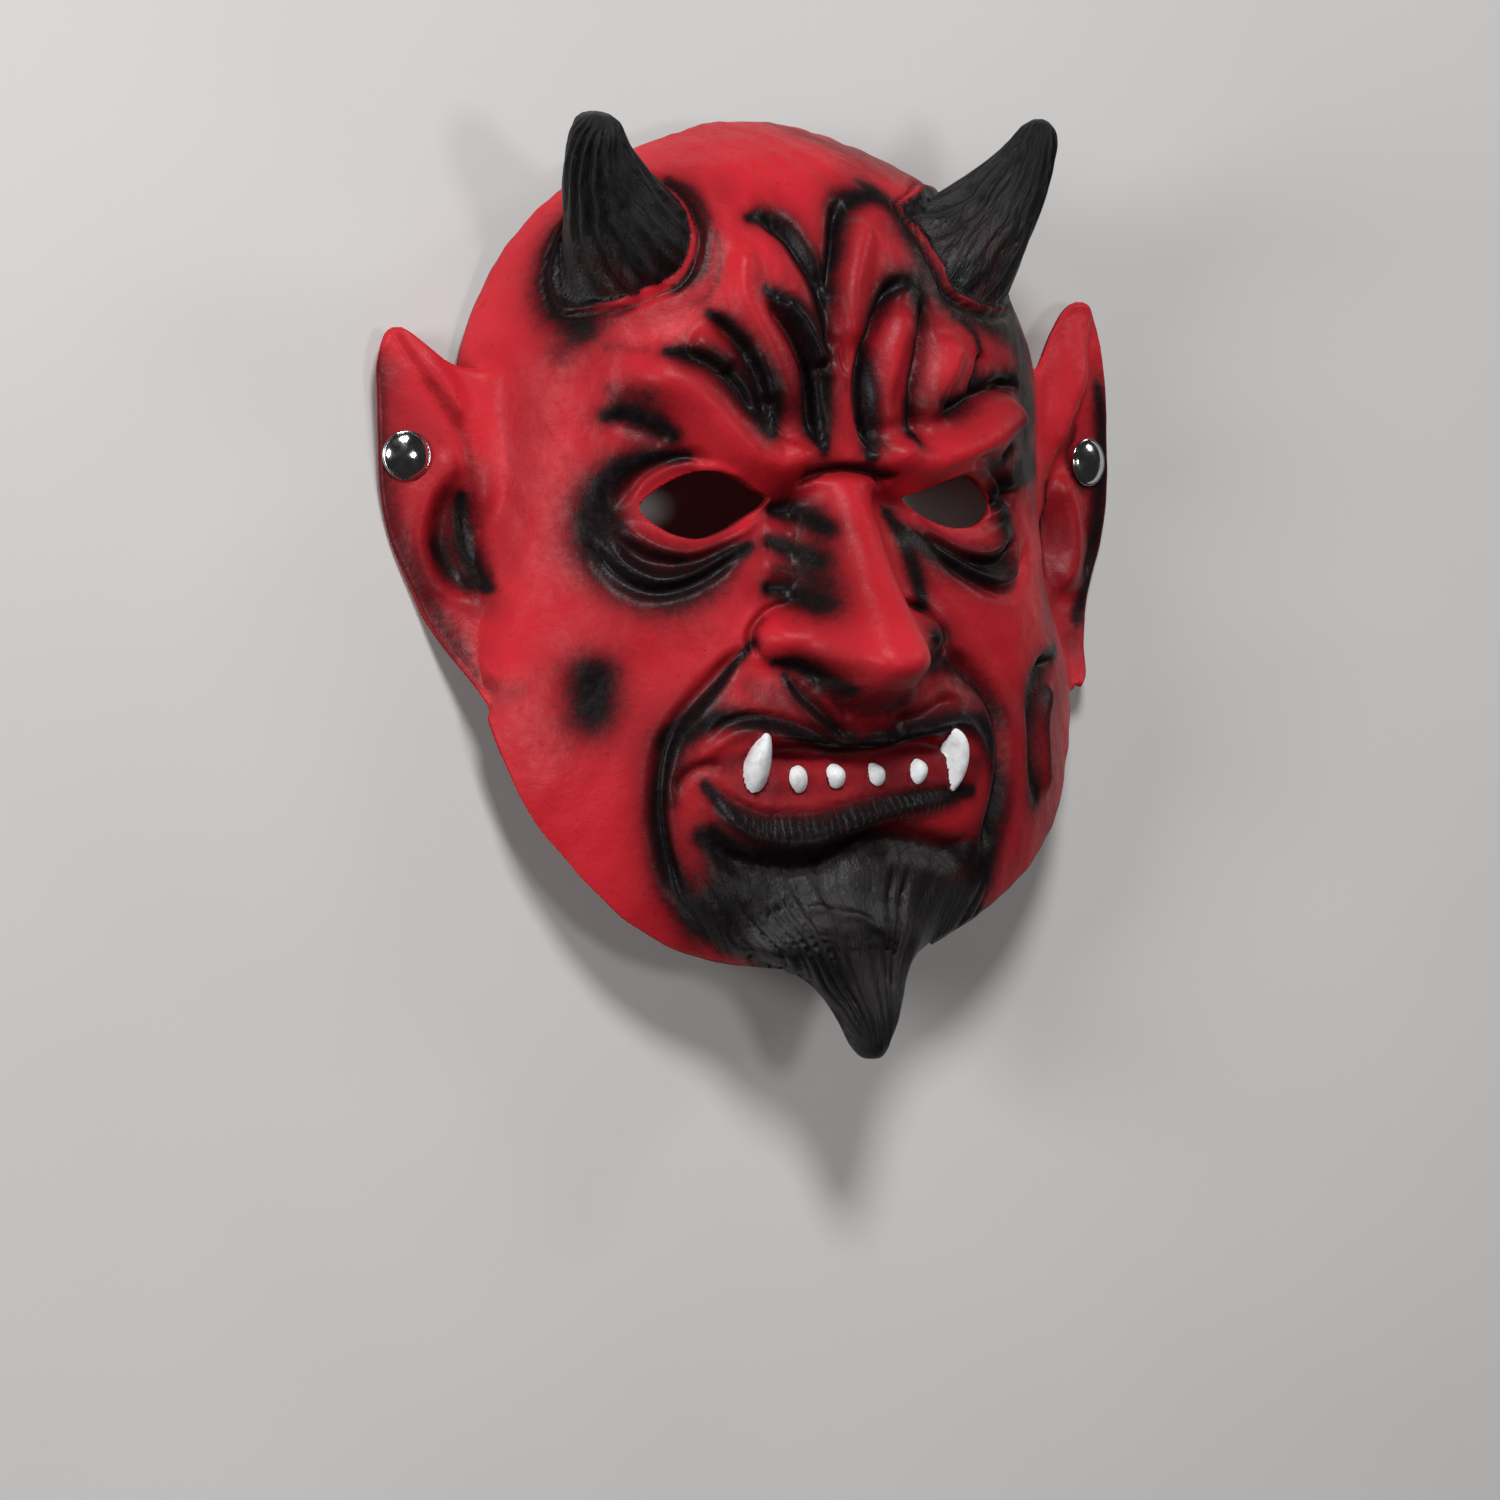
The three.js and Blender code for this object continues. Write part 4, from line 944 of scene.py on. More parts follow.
def add_horn(bm, side):
    """A horn with long flutes, which flares to the outline of its foot."""
    line = smooth_line(HORNS[side], 12)
    at = np.arange(len(line)) / (len(line) - 1)
    ball = bmesh.ops.create_uvsphere(bm, u_segments=112, v_segments=60, radius=1)["verts"]
    x, y, z = points_of(ball).T
    share = np.arccos(np.clip(-z, -1, 1)) / math.pi
    angle = np.arctan2(y, x)
    middle = np.stack([np.interp(share, at, line[:, k]) for k in range(3)], -1)
    step = np.gradient(line[:, :3], axis=0)
    ahead = np.stack([np.interp(share, at, step[:, k]) for k in range(3)], -1)
    ahead /= np.linalg.norm(ahead, axis=1)[:, None]
    across = np.cross((0, 1, 0), ahead)
    across /= np.linalg.norm(across, axis=1)[:, None]
    over = np.cross(ahead, across)
    radius = np.interp(share, at, line[:, 3])
    start, seed = (0, 8) if side == "left" else (2, 9)
    wander = angle + 0.05 * np.sin(3 * share * math.pi + start)
    flutes = 0.75 * np.abs(np.sin(7 * wander)) ** 0.7 + 0.3 * np.sin(17 * wander + 4 * share)
    above_foot = ease(share, 0.1, 0.2)
    depth = FLUTE_DEPTH * above_foot * ease(1 - share, 0.02, 0.25)
    rough = HORN_UNEVENNESS * ripple(angle * 14, share * 80, 24, seed) * above_foot
    radius = radius * off_poles(share)
    relief = (flutes - 0.4) * depth * np.minimum(1, radius / 8) + rough * np.minimum(1, radius / 12)
    outward = np.sin(angle)[:, None] * across + np.cos(angle)[:, None] * over
    points = middle + radius[:, None] * outward
    nearest = int(np.argmin(np.abs(share - HORN_LEAVES_SKIN)))
    turns, outline = horn_foot(side, middle[nearest], across[nearest], over[nearest])
    foot = np.stack([np.interp(angle, turns, outline[:, k], period=2 * math.pi) for k in range(3)], -1)
    rise = np.clip((share - HORN_LEAVES_SKIN) / (HORN_IS_ROUND - HORN_LEAVES_SKIN), 0, 1)[:, None]
    sunk = np.clip(share / HORN_LEAVES_SKIN, 0, 1)[:, None]
    points = line[0, :3] + (foot - line[0, :3]) * sunk + (points - foot) * rise * (2 - rise)
    points += relief[:, None] * outward
    if side == "right":
        points[:, 0] *= -1
    place(ball, points)


def add_goatee(bm):
    """The hanging goatee; its root has hardly any back, so all of it goes in the skin."""
    ball = bmesh.ops.create_uvsphere(bm, u_segments=72, v_segments=60, radius=1)["verts"]
    x, y, z = points_of(ball).T
    share = np.arccos(np.clip(z, -1, 1)) / math.pi
    angle = np.arctan2(x, -y)
    rows = [(i / (len(GOATEE) - 1), *row) for i, row in enumerate(GOATEE)]
    height, middle, front, width, depth = (read_table(rows, share, k) for k in range(1, 6))
    width = width * off_poles(share)
    rear = GOATEE_FLAT_BACK + (1 - GOATEE_FLAT_BACK) * ease(-height, *GOATEE_HANGS_FREE)
    depth = depth * np.where(np.cos(angle) < 0, rear, 1)
    points = np.stack([middle + width * np.sin(angle), height, front + depth * np.cos(angle)], -1)
    place(ball, points)


def ear_plane(x, y, side="left"):
    """The plain face of an ear, which leans back towards its outer edge."""
    return read_table(EAR_ROWS[side], y, 3) + EAR_LEAN * (x - EAR_MIDDLE)


def ear_relief(x, y, side):
    """How far the leaf, the pit and the folds of an ear stand over its plain face."""
    form = EAR_LEAF_FORM[side]
    edge = read_table(EAR_LEAF[side], y, 1)
    cover = ease(edge + form["soft"] - x, 0, 2 * form["soft"]) * ease(y, *form["foot"])
    leaf = form["height"] * cover * (0.3 + 0.7 * ease(x - edge, -form["fall"], -3))
    leaf *= 1 - 0.75 * ease(y, 40, 62)
    cx, cy, half_width, half_height, depth = EAR_PITS[side]
    square = ((x - cx) / half_width) ** 2 + ((y - cy) / half_height) ** 2
    relief = leaf + (1 - cover) * depth * np.exp(-(square**2)) + fold_heights(x, y, EAR_FOLDS[side])
    return relief + 0.22 * ripple(x, y, 14, 6) + 0.08 * ripple(x, y, 6, 7)


def pressed_flat(x, y, z, below):
    """Both sides of the ear are flat where the stud holds it."""
    plane = ear_plane(STUD["x"], STUD["y"]) + EAR_LEAN * (x - STUD["x"]) - below
    away = ease(np.hypot(x - STUD["x"], y - STUD["y"]), STUD["seat"], STUD["seat"] + STUD["press"])
    return plane + (z - plane) * away


def add_ear(bm, side):
    """An ear: a sheet for its back, raised to its front and thinned to a rounded edge."""
    verts, u, v = sheet(bm, *EAR_STEPS)
    u, v = np.sin(u * math.pi / 2), v * (1.25 - 0.25 * v * v)
    rows = EAR_ROWS[side]
    low, high = rows[0][0], rows[-1][0]
    y = low + (high - low) * (v + 1) / 2
    inner, outer = read_table(rows, y, 1), read_table(rows, y, 2)
    x = inner + (outer - inner) * (u + 1) / 2
    relief = ear_relief(x, y, side)
    front = pressed_flat(x, y, ear_plane(x, y, side) + relief, 0)
    share = np.where(relief > 0, EAR_BACK_RELIEF["raised"], EAR_BACK_RELIEF["sunk"])
    back = ear_plane(x, y, side) + share * relief + mound(x, y, EAR_HEEL) - EAR_THICKNESS
    back = pressed_flat(x, y, back, EAR_THICKNESS)
    table = (EAR_OVER_TABLE - FACE_ORIGIN[2] - y * math.sin(REST_LEAN)) / math.cos(REST_LEAN)
    back = np.maximum(back, table)
    front = np.maximum(front, back + LEAST_THICKNESS)
    edge = np.minimum((1 - np.abs(u)) * (outer - inner) / 2, (1 - np.abs(v)) * (high - low) / 2)
    inset = 1 - np.clip(edge / EAR_ROUNDING, 0, 1)
    trim = EAR_THICKNESS * 0.42 * (1 - np.sqrt(1 - inset**2))
    mirror = -1 if side == "right" else 1
    faces = {face for vert in verts for face in vert.link_faces}
    mark_faces(faces, EAR_BACK)
    place(verts, np.stack([x * mirror, y, back + trim], -1))
    raised = bmesh.ops.extrude_face_region(bm, geom=list(faces))["geom"]
    mark_faces([item for item in raised if isinstance(item, bmesh.types.BMFace)], EAR)
    place(verts_in(raised), np.stack([x * mirror, y, front - trim], -1))


def outgrowths():
    """The horns, the ears and the goatee, before their roots are cut."""
    bm = bmesh.new()
    for side in ("left", "right"):
        add_horn(bm, side)
    mark_faces(bm.faces, HORN)
    horns = set(bm.faces)
    add_goatee(bm)
    mark_faces(set(bm.faces) - horns, BEARD)
    for side in ("left", "right"):
        add_ear(bm, side)
    return object_of("outgrowths", bm)


def teeth():
    """Each tooth is a blunt peg that stands out of the gum."""
    bm = bmesh.new()
    for across, along, half_width, half_height, height, lean in TEETH:
        ball = bmesh.ops.create_uvsphere(bm, u_segments=28, v_segments=20, radius=1)["verts"]
        x, y, z = points_of(ball).T
        fang = half_height > FANG_LENGTH
        point = 1 - 0.4 * ease(y, -0.3, 1) if fang and across < 0 else 1
        bend = FANG_BEND * y * y if fang and across > 0 else 0
        turn = math.radians(lean)
        sx, sy = x * half_width * point - bend, y * (1.25 - 0.25 * y * y) * half_height
        s = across + sx * math.cos(turn) - sy * math.sin(turn)
        t = along + sx * math.sin(turn) + sy * math.cos(turn)
        base = plain_radius(s, t) + carving(s, t)
        low = plain_radius(across, along) + np.median(base - plain_radius(s, t))
        sunk = low - TOOTH_SUNK
        root = sunk + (np.minimum(sunk, base - TOOTH_ROOT) - sunk) * ease(-z, 0, 0.3)
        out = np.where(z > 0, sunk + (height + TOOTH_SUNK) * z, root)
        place(ball, on_ray(s, t, out + 0.3 * np.minimum(z, 0)))
    mark_faces(bm.faces, TOOTH)
    return object_of("teeth", bm)


def cutters():
    """The eye openings and the holes for the studs' posts."""
    bm = bmesh.new()
    for outline in EYE_OPENINGS:
        line = smooth_line(outline, 5, closed=True)
        face = bm.faces.new([bm.verts.new((x, y, EYE_CUT[0])) for x, y in line])
        far = bmesh.ops.extrude_face_region(bm, geom=[face])["geom"]
        bmesh.ops.translate(bm, verts=verts_in(far), vec=(0, 0, EYE_CUT[1] - EYE_CUT[0]))
    hole = STUD["post"] + STUD["gap"]
    for mirror in (1, -1):
        made = bmesh.ops.create_cone(
            bm, cap_ends=True, segments=24, radius1=hole, radius2=hole, depth=30
        )
        bmesh.ops.transform(bm, matrix=at_stud(mirror), verts=made["verts"])
    mark_faces(bm.faces, INSIDE)
    return object_of("cutters", bm)


def at_stud(mirror):
    """To a stud's place on an ear, from parts made round the Z axis with the latex's face at 0."""
    front = float(ear_plane(STUD["x"], STUD["y"]))
    turn = Matrix.Rotation(math.atan(-EAR_LEAN), 4, "Y")
    here = Matrix.Translation((STUD["x"], STUD["y"], front)) @ turn
    return Matrix.Scale(-1, 4, (1, 0, 0)) @ here if mirror < 0 else here


def combined(base, operation, other):
    """base joined with other, or with other cut away."""
    for thing in (base, other):
        while len(thing.data.materials) < len(SURFACES):
            thing.data.materials.append(None)
    step = base.modifiers.new("step", "BOOLEAN")
    step.operation = operation
    step.solver = "MANIFOLD"
    step.object = other
    bpy.context.view_layer.update()
    depsgraph = bpy.context.evaluated_depsgraph_get()
    mesh = bpy.data.meshes.new_from_object(base.evaluated_get(depsgraph))
    base.modifiers.remove(step)
    base.data = mesh
    bpy.data.objects.remove(other)
    return base


def cast_mask():
    """The mask in one piece, its openings cut."""
    grown = combined(outgrowths(), "DIFFERENCE", root_cutter())
    cast = combined(skin_shell(), "UNION", grown)
    cast = combined(cast, "UNION", teeth())
    return combined(cast, "DIFFERENCE", cutters())


def seam_verts(bm, one, other):
    """The vertices where two of the mask's surfaces meet."""
    found = set()
    for edge in bm.edges:
        if surfaces_at(edge) == {one, other}:
            found.update(edge.verts)
    return found


def tree_of(points):
    tree = kdtree.KDTree(len(points))
    for i, point in enumerate(points):
        tree.insert(point, i)
    tree.balance()
    return tree


def soften(bm, one, other, reach, passes=4, band=(0, 0), held=()):
    """Blends one surface into the other, most at the seam and less further away; a band of
    heights and the held vertices are left as they are."""
    low, high = band
    seam = [vert.co for vert in seam_verts(bm, one, other) if not low < vert.co.y < high]
    tree = tree_of(seam)
    distance = {vert: tree.find(vert.co)[2] for vert in bm.verts}
    every_way = {"use_axis_x": True, "use_axis_y": True, "use_axis_z": True}
    for share in (1, 0.7, 0.45):
        near = [vert for vert in bm.verts if distance[vert] < reach * share and vert not in held]
        for _ in range(passes):
            bmesh.ops.smooth_vert(bm, verts=near, factor=0.5, **every_way)


def beard_lines(points):
    """Where a point lies in the beard: its share of the width, and its height over the tip."""
    height = points[:, 1] - BEARD_TIP[1]
    middle = BEARD_TIP[0] * np.exp(-height / BEARD_SWAY)
    return (points[:, 0] - middle) / read_table(BEARD_WIDTH, height, 1), height


def beard_cover(across, along):
    """How much of the chin's skin the painted beard covers."""
    ragged = along + 0.8 * ripple(across, along, 9, 14)
    upper = read_table(BEARD_EDGE, across, 1) - ragged
    lower = ragged - read_table(BEARD_FOOT, across, 1)
    return ease(upper, -3, 3) * ease(lower, -4, 4)


def uneven(values, seed):
    """Smooth random numbers, 0 to 1, along a line."""
    table = np.random.default_rng(seed).uniform(0, 1, 512)
    whole = np.floor(values).astype(int)
    t = values - whole
    t = t * t * (3 - 2 * t)
    return table[whole % 512] * (1 - t) + table[(whole + 1) % 512] * t


def strands(aside, height):
    """The uneven ridges of the combed hair, about -1 to 1."""
    wide = uneven(aside * 9 + 1.1 * np.sin(height / 24 + 2 * aside) + 200, 4)
    thin = uneven(aside * 20 + 1.8 * np.sin(height / 19 - aside) + 200, 5)
    swell = uneven(height / 15 + aside * 7 + 200, 6)
    locks = np.abs(2 * wide - 1) ** 0.7 * (0.85 + 0.6 * swell) + 0.14 * np.abs(2 * thin - 1) - 0.55
    return locks * (1 - 0.6 * ease(aside, 0.15, 0.6))


def comb(bm):
    """Cuts the beard's hair into the surface."""
    bm.normal_update()
    verts = [vert for vert in bm.verts if surfaces_at(vert) <= {BEARD, SKIN}]
    points = points_of(verts)
    normals = np.array([vert.normal for vert in verts])
    aside, height = beard_lines(points)
    hair = np.array([BEARD in surfaces_at(vert) for vert in verts], float)
    hair = np.maximum(hair, beard_cover(*across_and_along(points))) * (normals[:, 2] > -0.2)
    lift = STRAND_HEIGHT * hair * ease(height, 1, 14) * strands(aside, height)
    ledge = smooth_line(BEARD_LEDGE)
    near, distance, share, _ = along_line(points[:, 0], points[:, 1], ledge, LEDGE_REACH)
    fade = ease(share, 0, 0.2) * ease(1 - share, 0, 0.2)
    lift[near] += LEDGE_HEIGHT * fade * np.exp(-((distance / LEDGE_SOFTNESS) ** 2)) * hair[near]
    for vert, normal, value in zip(verts, normals, lift):
        vert.co += Vector(normal * value)


def ear_shadow(points):
    """The black in the hollows and along the edges of the ears."""
    x, y = np.abs(points[:, 0]), points[:, 1]
    right = points[:, 0] < 0
    shadow = np.where(right, brushed(x, y, EAR_BLACK["right"]), brushed(x, y, EAR_BLACK["left"]))
    return shadow * (x > EARS_BEGIN)


def red_rim(across, along, off):
    """The rim of each horn's foot that the spray has left red, on one side of the horn."""
    x, y = np.abs(across) - HORN_MIDDLE[0], along - HORN_MIDDLE[1]
    turn = np.degrees(np.arctan2(y, x)) % 360
    right = ease(turn, 150, 185) * ease(-turn, -290, -250)
    left = 0.55 * ease(turn, 140, 170) * ease(-turn, -260, -225)
    rim = np.where(across < 0, right, left) * (1 - ease(np.abs(off - 0.6), 0.4, 1.5))
    return rim * (0.75 + 0.25 * ripple(across, along, 12, 15))


def face_black(across, along):
    """The black on the face: the strokes, their haze, the horns' feet and the beard."""
    off = off_horn(across, along)
    sprayed = foot_ring(off, FOOT_BLACK) * (0.65 + 0.35 * ripple(across, along, 30, 12))
    bare = 1 - brushed(across, along, AIRBRUSH, STROKE_EDGE)
    bare = bare * (1 - HAZE * brushed(across, along, AIRBRUSH, HAZE_EDGE)) * (1 - sprayed)
    black = np.maximum(1 - bare, ease(-off, -1.4, 0.4)) * (1 - red_rim(across, along, off))
    return np.maximum(black, beard_cover(across, along))


def horn_grain(points, surface, grain, shade):
    """Lays the grain along each horn, and the red that shows through at its foot."""
    for side, mirror in (("left", 1), ("right", -1)):
        line = smooth_line(HORNS[side], 12) * (mirror, 1, 1, 1)
        tree = tree_of(line[:, :3])
        for i in np.flatnonzero((surface == HORN) & (points[:, 0] * mirror > 0)):
            _, k, _ = tree.find(points[i])
            out = points[i] - line[k, :3]
            around = math.atan2(out[0], out[1] * 0.5 - out[2] * 0.85)
            grain[i] = (6.4 * math.sin(around), 6.4 * math.cos(around), k / 14)
            shade[i] = max(0, 1 - k / 44) * (0.35 + 0.65 * (abs(around) > 2))


def painted(mesh, surface):
    """Leaves on each vertex how much black and dark red it carries, painted shade and shadow among them,
    and the run of its grain.
    """
    points = np.empty(len(mesh.vertices) * 3)
    mesh.vertices.foreach_get("co", points)
    points = points.reshape(-1, 3)
    across, along = across_and_along(points)
    side = np.abs(points[:, 0])
    on_ear = surface == EAR
    black = np.maximum(np.where(on_ear, 0, face_black(across, along)), ear_shadow(points))

    red_haze = RED_HAZE * brushed(across, along, AIRBRUSH, RED_HAZE_EDGE)
    shade = np.maximum(brushed(across, along, SHADING), red_haze)
    ear_shade = ease(side, *EAR_SHADE_BEGINS) * brushed(side, points[:, 1], EAR_SHADE)
    shade = np.maximum(np.where(on_ear, 0, shade), ear_shade)
    shade = np.where(surface == BEARD, 0.1, shade)

    aside, height = beard_lines(points)
    grain = np.stack([aside * 20, height / 9, points[:, 2] / 30], -1)
    horn_grain(points, surface, grain, shade)

    skin = plain_radius(across, along) + carving(across, along)
    start = np.clip(points[:, 1], AXIS_BOTTOM, AXIS_TOP)
    out = np.linalg.norm(points - np.stack([0 * start, start, 0 * start + AXIS_Z], -1), axis=1)
    gum = np.where(surface == TOOTH, 1 - ease(out - skin, 0, GUM_HEIGHT), 0)

    lip = np.abs(along - np.interp(across, *np.array(LOWER_LIP).T))
    along_lip = RIBBED["length"] - np.abs(across - RIBBED["middle"])
    lip = (1 - ease(lip, *RIBBED["edge"])) * ease(along_lip, 0, RIBBED["fade"])
    values = {
        "charcoal": black,
        "shade": shade,
        "hair": beard_cover(across, along),
        "gum": gum,
        "lip": lip,
        "across": across,
    }
    for name, value in values.items():
        layer = mesh.attributes.new(name, "FLOAT", "POINT")
        layer.data.foreach_set("value", value.astype(np.float32))
    layer = mesh.attributes.new("grain", "FLOAT_VECTOR", "POINT")
    layer.data.foreach_set("vector", grain.astype(np.float32).ravel())


def drop_crumbs(bm, most_faces=100):
    """Deletes the loose slivers that the cuts have left."""
    left = set(bm.faces)
    while left:
        piece = [left.pop()]
        for face in piece:
            for edge in face.edges:
                beside = left.intersection(edge.link_faces)
                left -= beside
                piece.extend(beside)
        if len(piece) < most_faces:
            bmesh.ops.delete(bm, geom=piece, context="FACES")


def fuse(bm):
    """Melts each seam of the casting into a soft change of form."""
    soften(bm, SKIN, EAR, reach=11, passes=26, band=(-99, 12))
    soften(bm, SKIN, EAR, reach=4, passes=5)
    soften(bm, SKIN, BEARD, reach=9, passes=12, held=seam_verts(bm, SKIN, INSIDE))
    soften(bm, BEARD, INSIDE, reach=1.5, passes=2)
    soften(bm, SKIN, EAR_BACK, reach=2.5)
    soften(bm, INSIDE, EAR_BACK, reach=2)
    soften(bm, SKIN, HORN, reach=2, passes=3)


def finished_mask():
    """The mask fused, combed and painted, at its place on the table."""
    cast = cast_mask()
    bm = bmesh.new()
    bm.from_mesh(cast.data)
    fuse(bm)
    beard = [face for face in bm.faces if face.material_index == BEARD]
    bmesh.ops.triangulate(bm, faces=beard)
    hair = [edge for edge in bm.edges if BEARD in surfaces_at(edge)]
    bmesh.ops.subdivide_edges(bm, edges=hair, cuts=1)
    comb(bm)
    bmesh.ops.triangulate(bm, faces=[face for face in bm.faces if len(face.verts) > 4])
    drop_crumbs(bm)
    surface = np.array([max(surfaces_at(vert), default=0) for vert in bm.verts])
    bm.to_mesh(cast.data)
    bm.free()
    painted(cast.data, surface)
    shade_smooth(cast.data)
    cast.data.transform(FACE_TO_TABLE)
    return cast


def turned(name, profile, mirror, sides=64):
    """A piece turned on a lathe from radius and height, at its place on the ear."""
    bm = bmesh.new()
    verts = [bm.verts.new((radius, 0, height)) for radius, height in profile]
    edges = [bm.edges.new(pair) for pair in zip(verts, verts[1:])]
    if profile[0][0] > 0:
        edges.append(bm.edges.new((verts[-1], verts[0])))
    spin = {"cent": (0, 0, 0), "axis": (0, 0, 1), "angle": 2 * math.pi, "use_merge": True}
    bmesh.ops.spin(bm, geom=verts + edges, steps=sides, **spin)
    bmesh.ops.remove_doubles(bm, verts=bm.verts, dist=0.001)
    bmesh.ops.transform(bm, matrix=FACE_TO_TABLE @ at_stud(mirror), verts=bm.verts)
    piece = object_of(name, bm)
    shade_smooth(piece.data)
    sharp = piece.modifiers.new("sharp edges", "EDGE_SPLIT")
    sharp.split_angle = math.radians(50)
    return piece


def arc(centre, radius, start, end, steps):
    """Points of a turned edge's rounding, from one angle in degrees to another."""
    turns = [math.radians(start + (end - start) * k / steps) for k in range(steps + 1)]
    return [(centre[0] + radius * math.cos(t), centre[1] + radius * math.sin(t)) for t in turns]


def stud_cap(name, mirror):
    """A domed cap with a rolled lip, on the post that goes through the ear."""
    cap, gap, lip, post = (STUD[size] for size in ("cap", "gap", "lip", "post"))
    end = -STUD["plate"] - STUD["post_end"]
    reach, foot = cap - 1.5 * lip, gap + 2.1 * lip
    dome = []
    for k in range(14):
        out = reach * (1 - k / 14)
        dome.append((out, foot + STUD["dome"] * (1 - (out / reach) ** 2) ** 0.8))
    profile = [(0, end), (post, end), (post, gap), (cap - lip, gap)]
    profile += arc((cap - lip, gap + lip), lip, -90, 120, 9)
    profile += dome + [(0, foot + STUD["dome"])]
    return turned(name, profile, mirror)


def stud_socket(name, mirror):
    """The ring behind the ear that the strap's fastener closes on."""
    inner = STUD["post"] + STUD["gap"]
    back = -STUD["plate"] - 2 * STUD["gap"] - SOCKET_OFF_EAR
    profile = [(inner, back), (inner, back - 1.5)]
    profile += arc((inner + 0.5, back - 1.4), 0.4, 180, 270, 4)[1:]
    profile += [(radius, back + height) for radius, height in SOCKET_GROOVE]
    profile += arc((5.5, back - 1.2), 0.6, 270, 360, 5)
    profile += [(radius, back + height) for radius, height in SOCKET_RIM]
    return turned(name, profile, mirror)


def finish(name, roughness):
    """A new material, with a function that adds a node to it, its links and its shader."""
    material = bpy.data.materials.new(name)
    material.use_nodes = True
    nodes, links = material.node_tree.nodes, material.node_tree.links
    shader = nodes["Principled BSDF"]
    shader.inputs["Roughness"].default_value = roughness
    shader.inputs["Specular IOR Level"].default_value = GLOSS

    def node(kind, settings=None, **inputs):
        made = nodes.new("ShaderNode" + kind)
        for key, value in (settings or {}).items():
            setattr(made, key, value)
        for key, value in inputs.items():
            socket = made.inputs[int(key[1:]) if key[0] == "_" else key.replace("_", " ")]
            if isinstance(value, bpy.types.NodeSocket):
                links.new(value, socket)
            else:
                socket.default_value = value
        return made

    return material, node, links, shader


def spots(node, scale, detail, roughness=0.5):
    """Noise over the piece's own coordinates."""
    where = node("TexCoord").outputs["Object"]
    made = node("TexNoise", Vector=where, Scale=scale, Detail=detail, Roughness=roughness)
    return made.outputs["Fac"]


def spread(node, value, low, high, to_low=0.0, to_high=1.0):
    """A value's soft step between low and high, as a number between two others."""
    ends = {"From_Min": low, "From_Max": high, "To_Min": to_low, "To_Max": to_high}
    made = node("MapRange", {"interpolation_type": "SMOOTHSTEP"}, Value=value, **ends)
    return made.outputs["Result"]


def calc(node, operation, a, b=0.0):
    return node("Math", {"operation": operation}, _0=a, _1=b).outputs[0]


def times(node, a, b):
    return calc(node, "MULTIPLY", a, b)


def around_half(node, value, strength):
    """Noise about 0.5 made a push up or down of a strength."""
    return times(node, calc(node, "SUBTRACT", value, 0.5), strength)


def blend(node, share, a, b):
    """Two colours mixed by a share of the second."""
    return node("MixRGB", Fac=share, Color1=a, Color2=b).outputs["Color"]


def attribute(node, name, output="Fac"):
    return node("Attribute", {"attribute_name": name}).outputs[output]


def bumps(node, links, shader, layers):
    """Layers of bump, each a height, a depth in metres and a strength."""
    normal = None
    for height, depth, strength in layers:
        bump = node("Bump", Height=height, Distance=depth, Strength=strength)
        if normal:
            links.new(normal, bump.inputs["Normal"])
        normal = bump.outputs["Normal"]
    links.new(normal, shader.inputs["Normal"])


def red_paint(node, broad, fine):
    """Mottled red, darker where dark red is airbrushed and where shade is painted, with small specks of
    soot.
    """
    skin = blend(node, spread(node, broad, 0.35, 0.7), RED, RED_PALE)
    skin = blend(node, spread(node, fine, 0.55, 0.85, 0, 0.35), skin, RED_DEEP)
    shade = times(node, attribute(node, "shade"), spread(node, broad, 0.3, 0.6, 0.75, 1.0))
    skin = blend(node, times(node, shade, 0.85), skin, RED_DARK)
    where = node("TexCoord").outputs["Object"]
    speck = node("TexVoronoi", Vector=where, Scale=260.0, Randomness=1.0)
    dots = spread(node, speck.outputs["Distance"], 0.1, 0.04)
    chosen = spread(node, speck.outputs["Color"], 0.83, 0.86)
    return blend(node, times(node, times(node, dots, chosen), 0.75), skin, SOOT)


def painted_latex():
    """Satin red latex with airbrushed black, finely pitted, the lower lip ribbed."""
    material, node, links, shader = finish("painted_latex", 0.4)
    broad, fine, dust = spots(node, 38, 4), spots(node, 420, 3), spots(node, 1500, 2)
    wrinkle = spots(node, 150, 5, roughness=0.6)
    skin = red_paint(node, broad, fine)
    mist = calc(node, "ADD", attribute(node, "charcoal"), around_half(node, fine, 0.4))
    mist = calc(node, "ADD", mist, around_half(node, dust, 0.25))
    cover = spread(node, mist, 0.1, 0.96)

    black = blend(node, spread(node, fine, 0.35, 0.75), CHARCOAL, SOOT)
    where = attribute(node, "grain", "Vector")
    strand = node("TexNoise", Vector=where, Scale=1.6, Detail=5.0, Roughness=0.62).outputs["Fac"]
    strand = times(node, strand, attribute(node, "hair"))
    # painted sheen: lighter black on the raised strands of the combed hair
    black = blend(node, spread(node, strand, 0.35, 0.75), black, BEARD_SHEEN)
    links.new(blend(node, cover, skin, black), shader.inputs["Base Color"])

    combed_gloss = times(node, attribute(node, "hair"), SATIN - DULL)
    level = calc(node, "ADD", spread(node, cover, 0, 1, GLOSS, DULL), combed_gloss)
    links.new(level, shader.inputs["Specular IOR Level"])
    rough = spread(node, fine, 0.2, 0.8, 0.38, 0.5)
    rough = calc(node, "SUBTRACT", rough, times(node, cover, 0.08))
    links.new(rough, shader.inputs["Roughness"])

    ribs = times(node, attribute(node, "across"), 2 * math.pi / RIB_PITCH)
    ribs = calc(node, "SINE", calc(node, "ADD", ribs, times(node, wrinkle, 7)))
    on_lip = times(node, attribute(node, "lip"), spread(node, broad, 0.3, 0.6))
    layers = [
        (times(node, ribs, on_lip), 0.0002, 0.6),
        (strand, 0.0007, 0.8),
        (broad, 0.0016, 0.25),
        (wrinkle, 0.0007, 0.35),
        (fine, 0.0004, 0.35),
        (dust, 0.00012, 0.4),
    ]
    bumps(node, links, shader, layers)
    return material


